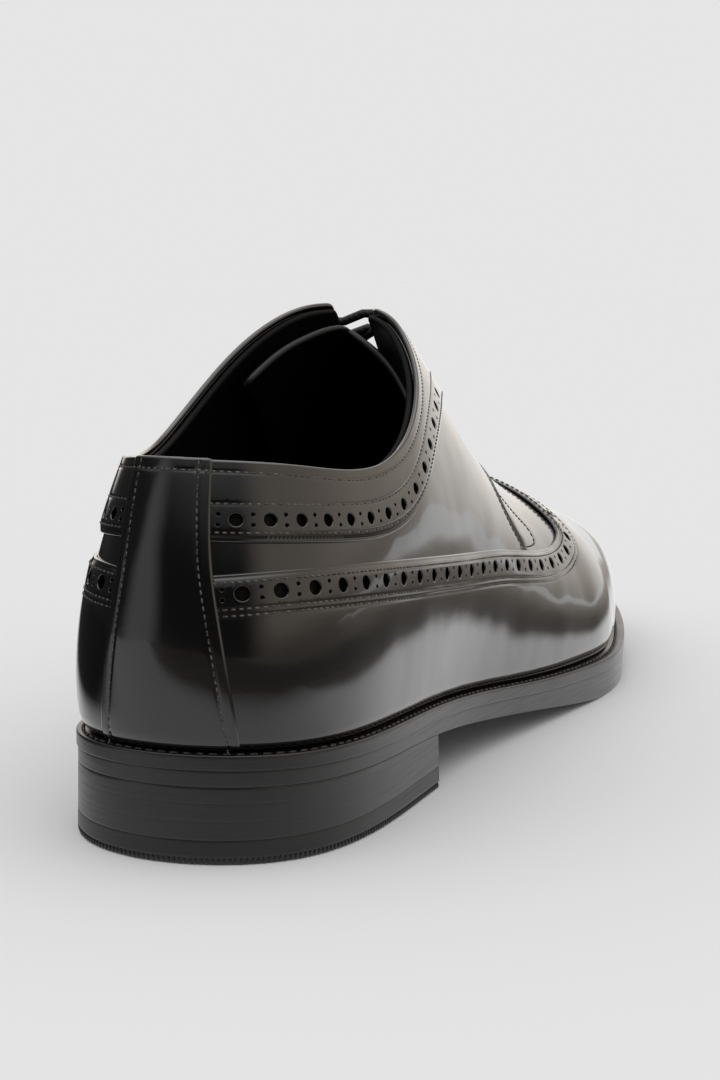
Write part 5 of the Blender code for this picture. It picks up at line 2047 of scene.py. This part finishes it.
# The painted reflection glows for mirrored rays only, though the paper is no lamp
painted_reflection_glow = add(tree, "ShaderNodeEmission", {"Color": painted_floor_reflection, "Strength": 1.0})
ray = add(tree, "ShaderNodeLightPath").outputs
sheet = add(tree, "ShaderNodeMixShader",
            {0: ray["Is Glossy Ray"], 1: shader.outputs[0], 2: painted_reflection_glow.outputs[0]})
feed(tree, tree.nodes["Material Output"], {"Surface": sheet.outputs[0]})
floor.data.materials.append(paper)
floor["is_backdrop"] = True
print("nodes in the paper:", len(tree.nodes))

# %% [markdown]
# ## Studio world
# A room with lamps could light the shoe, but each lamp would show as a hard spot in the polish. The world
# shader is the room instead, and gives each kind of ray its share: an even white, strongest from overhead,
# lights the paper, the studio's walls are what the leather mirrors, and paper grey stands behind the shoe.

# %% Studio world
WARM = "#FFF1E2"
BACKDROP = "#FFF9F2"
FROM_OVERHEAD = 1.35
FROM_THE_SIDES = 0.1
world = bpy.data.worlds.new("studio")
bpy.context.scene.world = world
world.use_nodes = True
world.cycles.sampling_method = "NONE"
sky = world.node_tree
sky.nodes.clear()
direction = add(sky, "ShaderNodeTexCoord").outputs["Generated"]


def grey(strength, tint="#FFFFFF"):
    """A light of some strength, white or faintly tinted."""
    return tuple(c * strength for c in linear(tint)[:3]) + (1.0,)


# Both walls brighten with height: the one behind the viewer is dark, and the one to the right is warm
behind = laid_over(sky, direction, grey(0.03), (grey(0.30), (UPWARD, 0.30, 0.60)))
right_wall = laid_over(sky, direction, grey(0.20, WARM), (grey(0.66, WARM), (UPWARD, -0.08, 0.14)))
studio = laid_over(
    sky, direction, behind,
    (right_wall, (RIGHT, 0.26, 0.74)),
    (grey(0.45), (-RIGHT, 0.72, 0.88)),
    (grey(1.6), (UPWARD, 0.62, 0.92)),
    (grey(1.0, BACKDROP), (AHEAD, 0.62, 0.92)),
    # A black screen stands to the left
    (grey(0.04), (-RIGHT, 0.35, 0.55), (AHEAD, -0.30, -0.10), (-UPWARD, -0.60, -0.35)),
)
# The paper is lit more from overhead than from the sides, so that the shadow gathers under the sole
height = add(sky, "ShaderNodeVectorMath", {0: direction, 1: tuple(UPWARD)}, operation="DOT_PRODUCT")
strength = add(sky, "ShaderNodeMath", {0: height.outputs["Value"], 1: FROM_OVERHEAD, 2: FROM_THE_SIDES},
               operation="MULTIPLY_ADD")
paper_light = add(sky, "ShaderNodeBackground", {"Color": grey(1.0), "Strength": strength.outputs[0]})
studio_light = add(sky, "ShaderNodeBackground", {"Color": studio, "Strength": 1.0})
plain_light = add(sky, "ShaderNodeBackground", {"Color": linear(PAPER), "Strength": 1.0})
ray = add(sky, "ShaderNodeLightPath").outputs
mirrored_light = add(sky, "ShaderNodeMixShader",
                     {0: ray["Is Glossy Ray"], 1: paper_light.outputs[0], 2: studio_light.outputs[0]})
seen_light = add(sky, "ShaderNodeMixShader",
                 {0: ray["Is Camera Ray"], 1: mirrored_light.outputs[0], 2: plain_light.outputs[0]})
add(sky, "ShaderNodeOutputWorld", {"Surface": seen_light.outputs[0]})
bpy.context.scene.view_settings.view_transform = "Standard"
print("nodes in the world:", len(sky.nodes))

# %% [markdown]
# ## Measuring the size
# The boxes of the imported solids and of the dressed shoe are both measured and printed, side by side. The
# tables could be trusted for the sizes, but measuring the finished meshes also shows a stitch that stands
# too high.

# %% Sizes and the end
visual_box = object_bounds()
sizes = {"cad": [list(corner) for corner in cad_box], "visual": [list(corner) for corner in visual_box]}
for label, box in sizes.items():
    print(label, "box in mm:", [round((b - a) * 1000, 1) for a, b in zip(*box)])
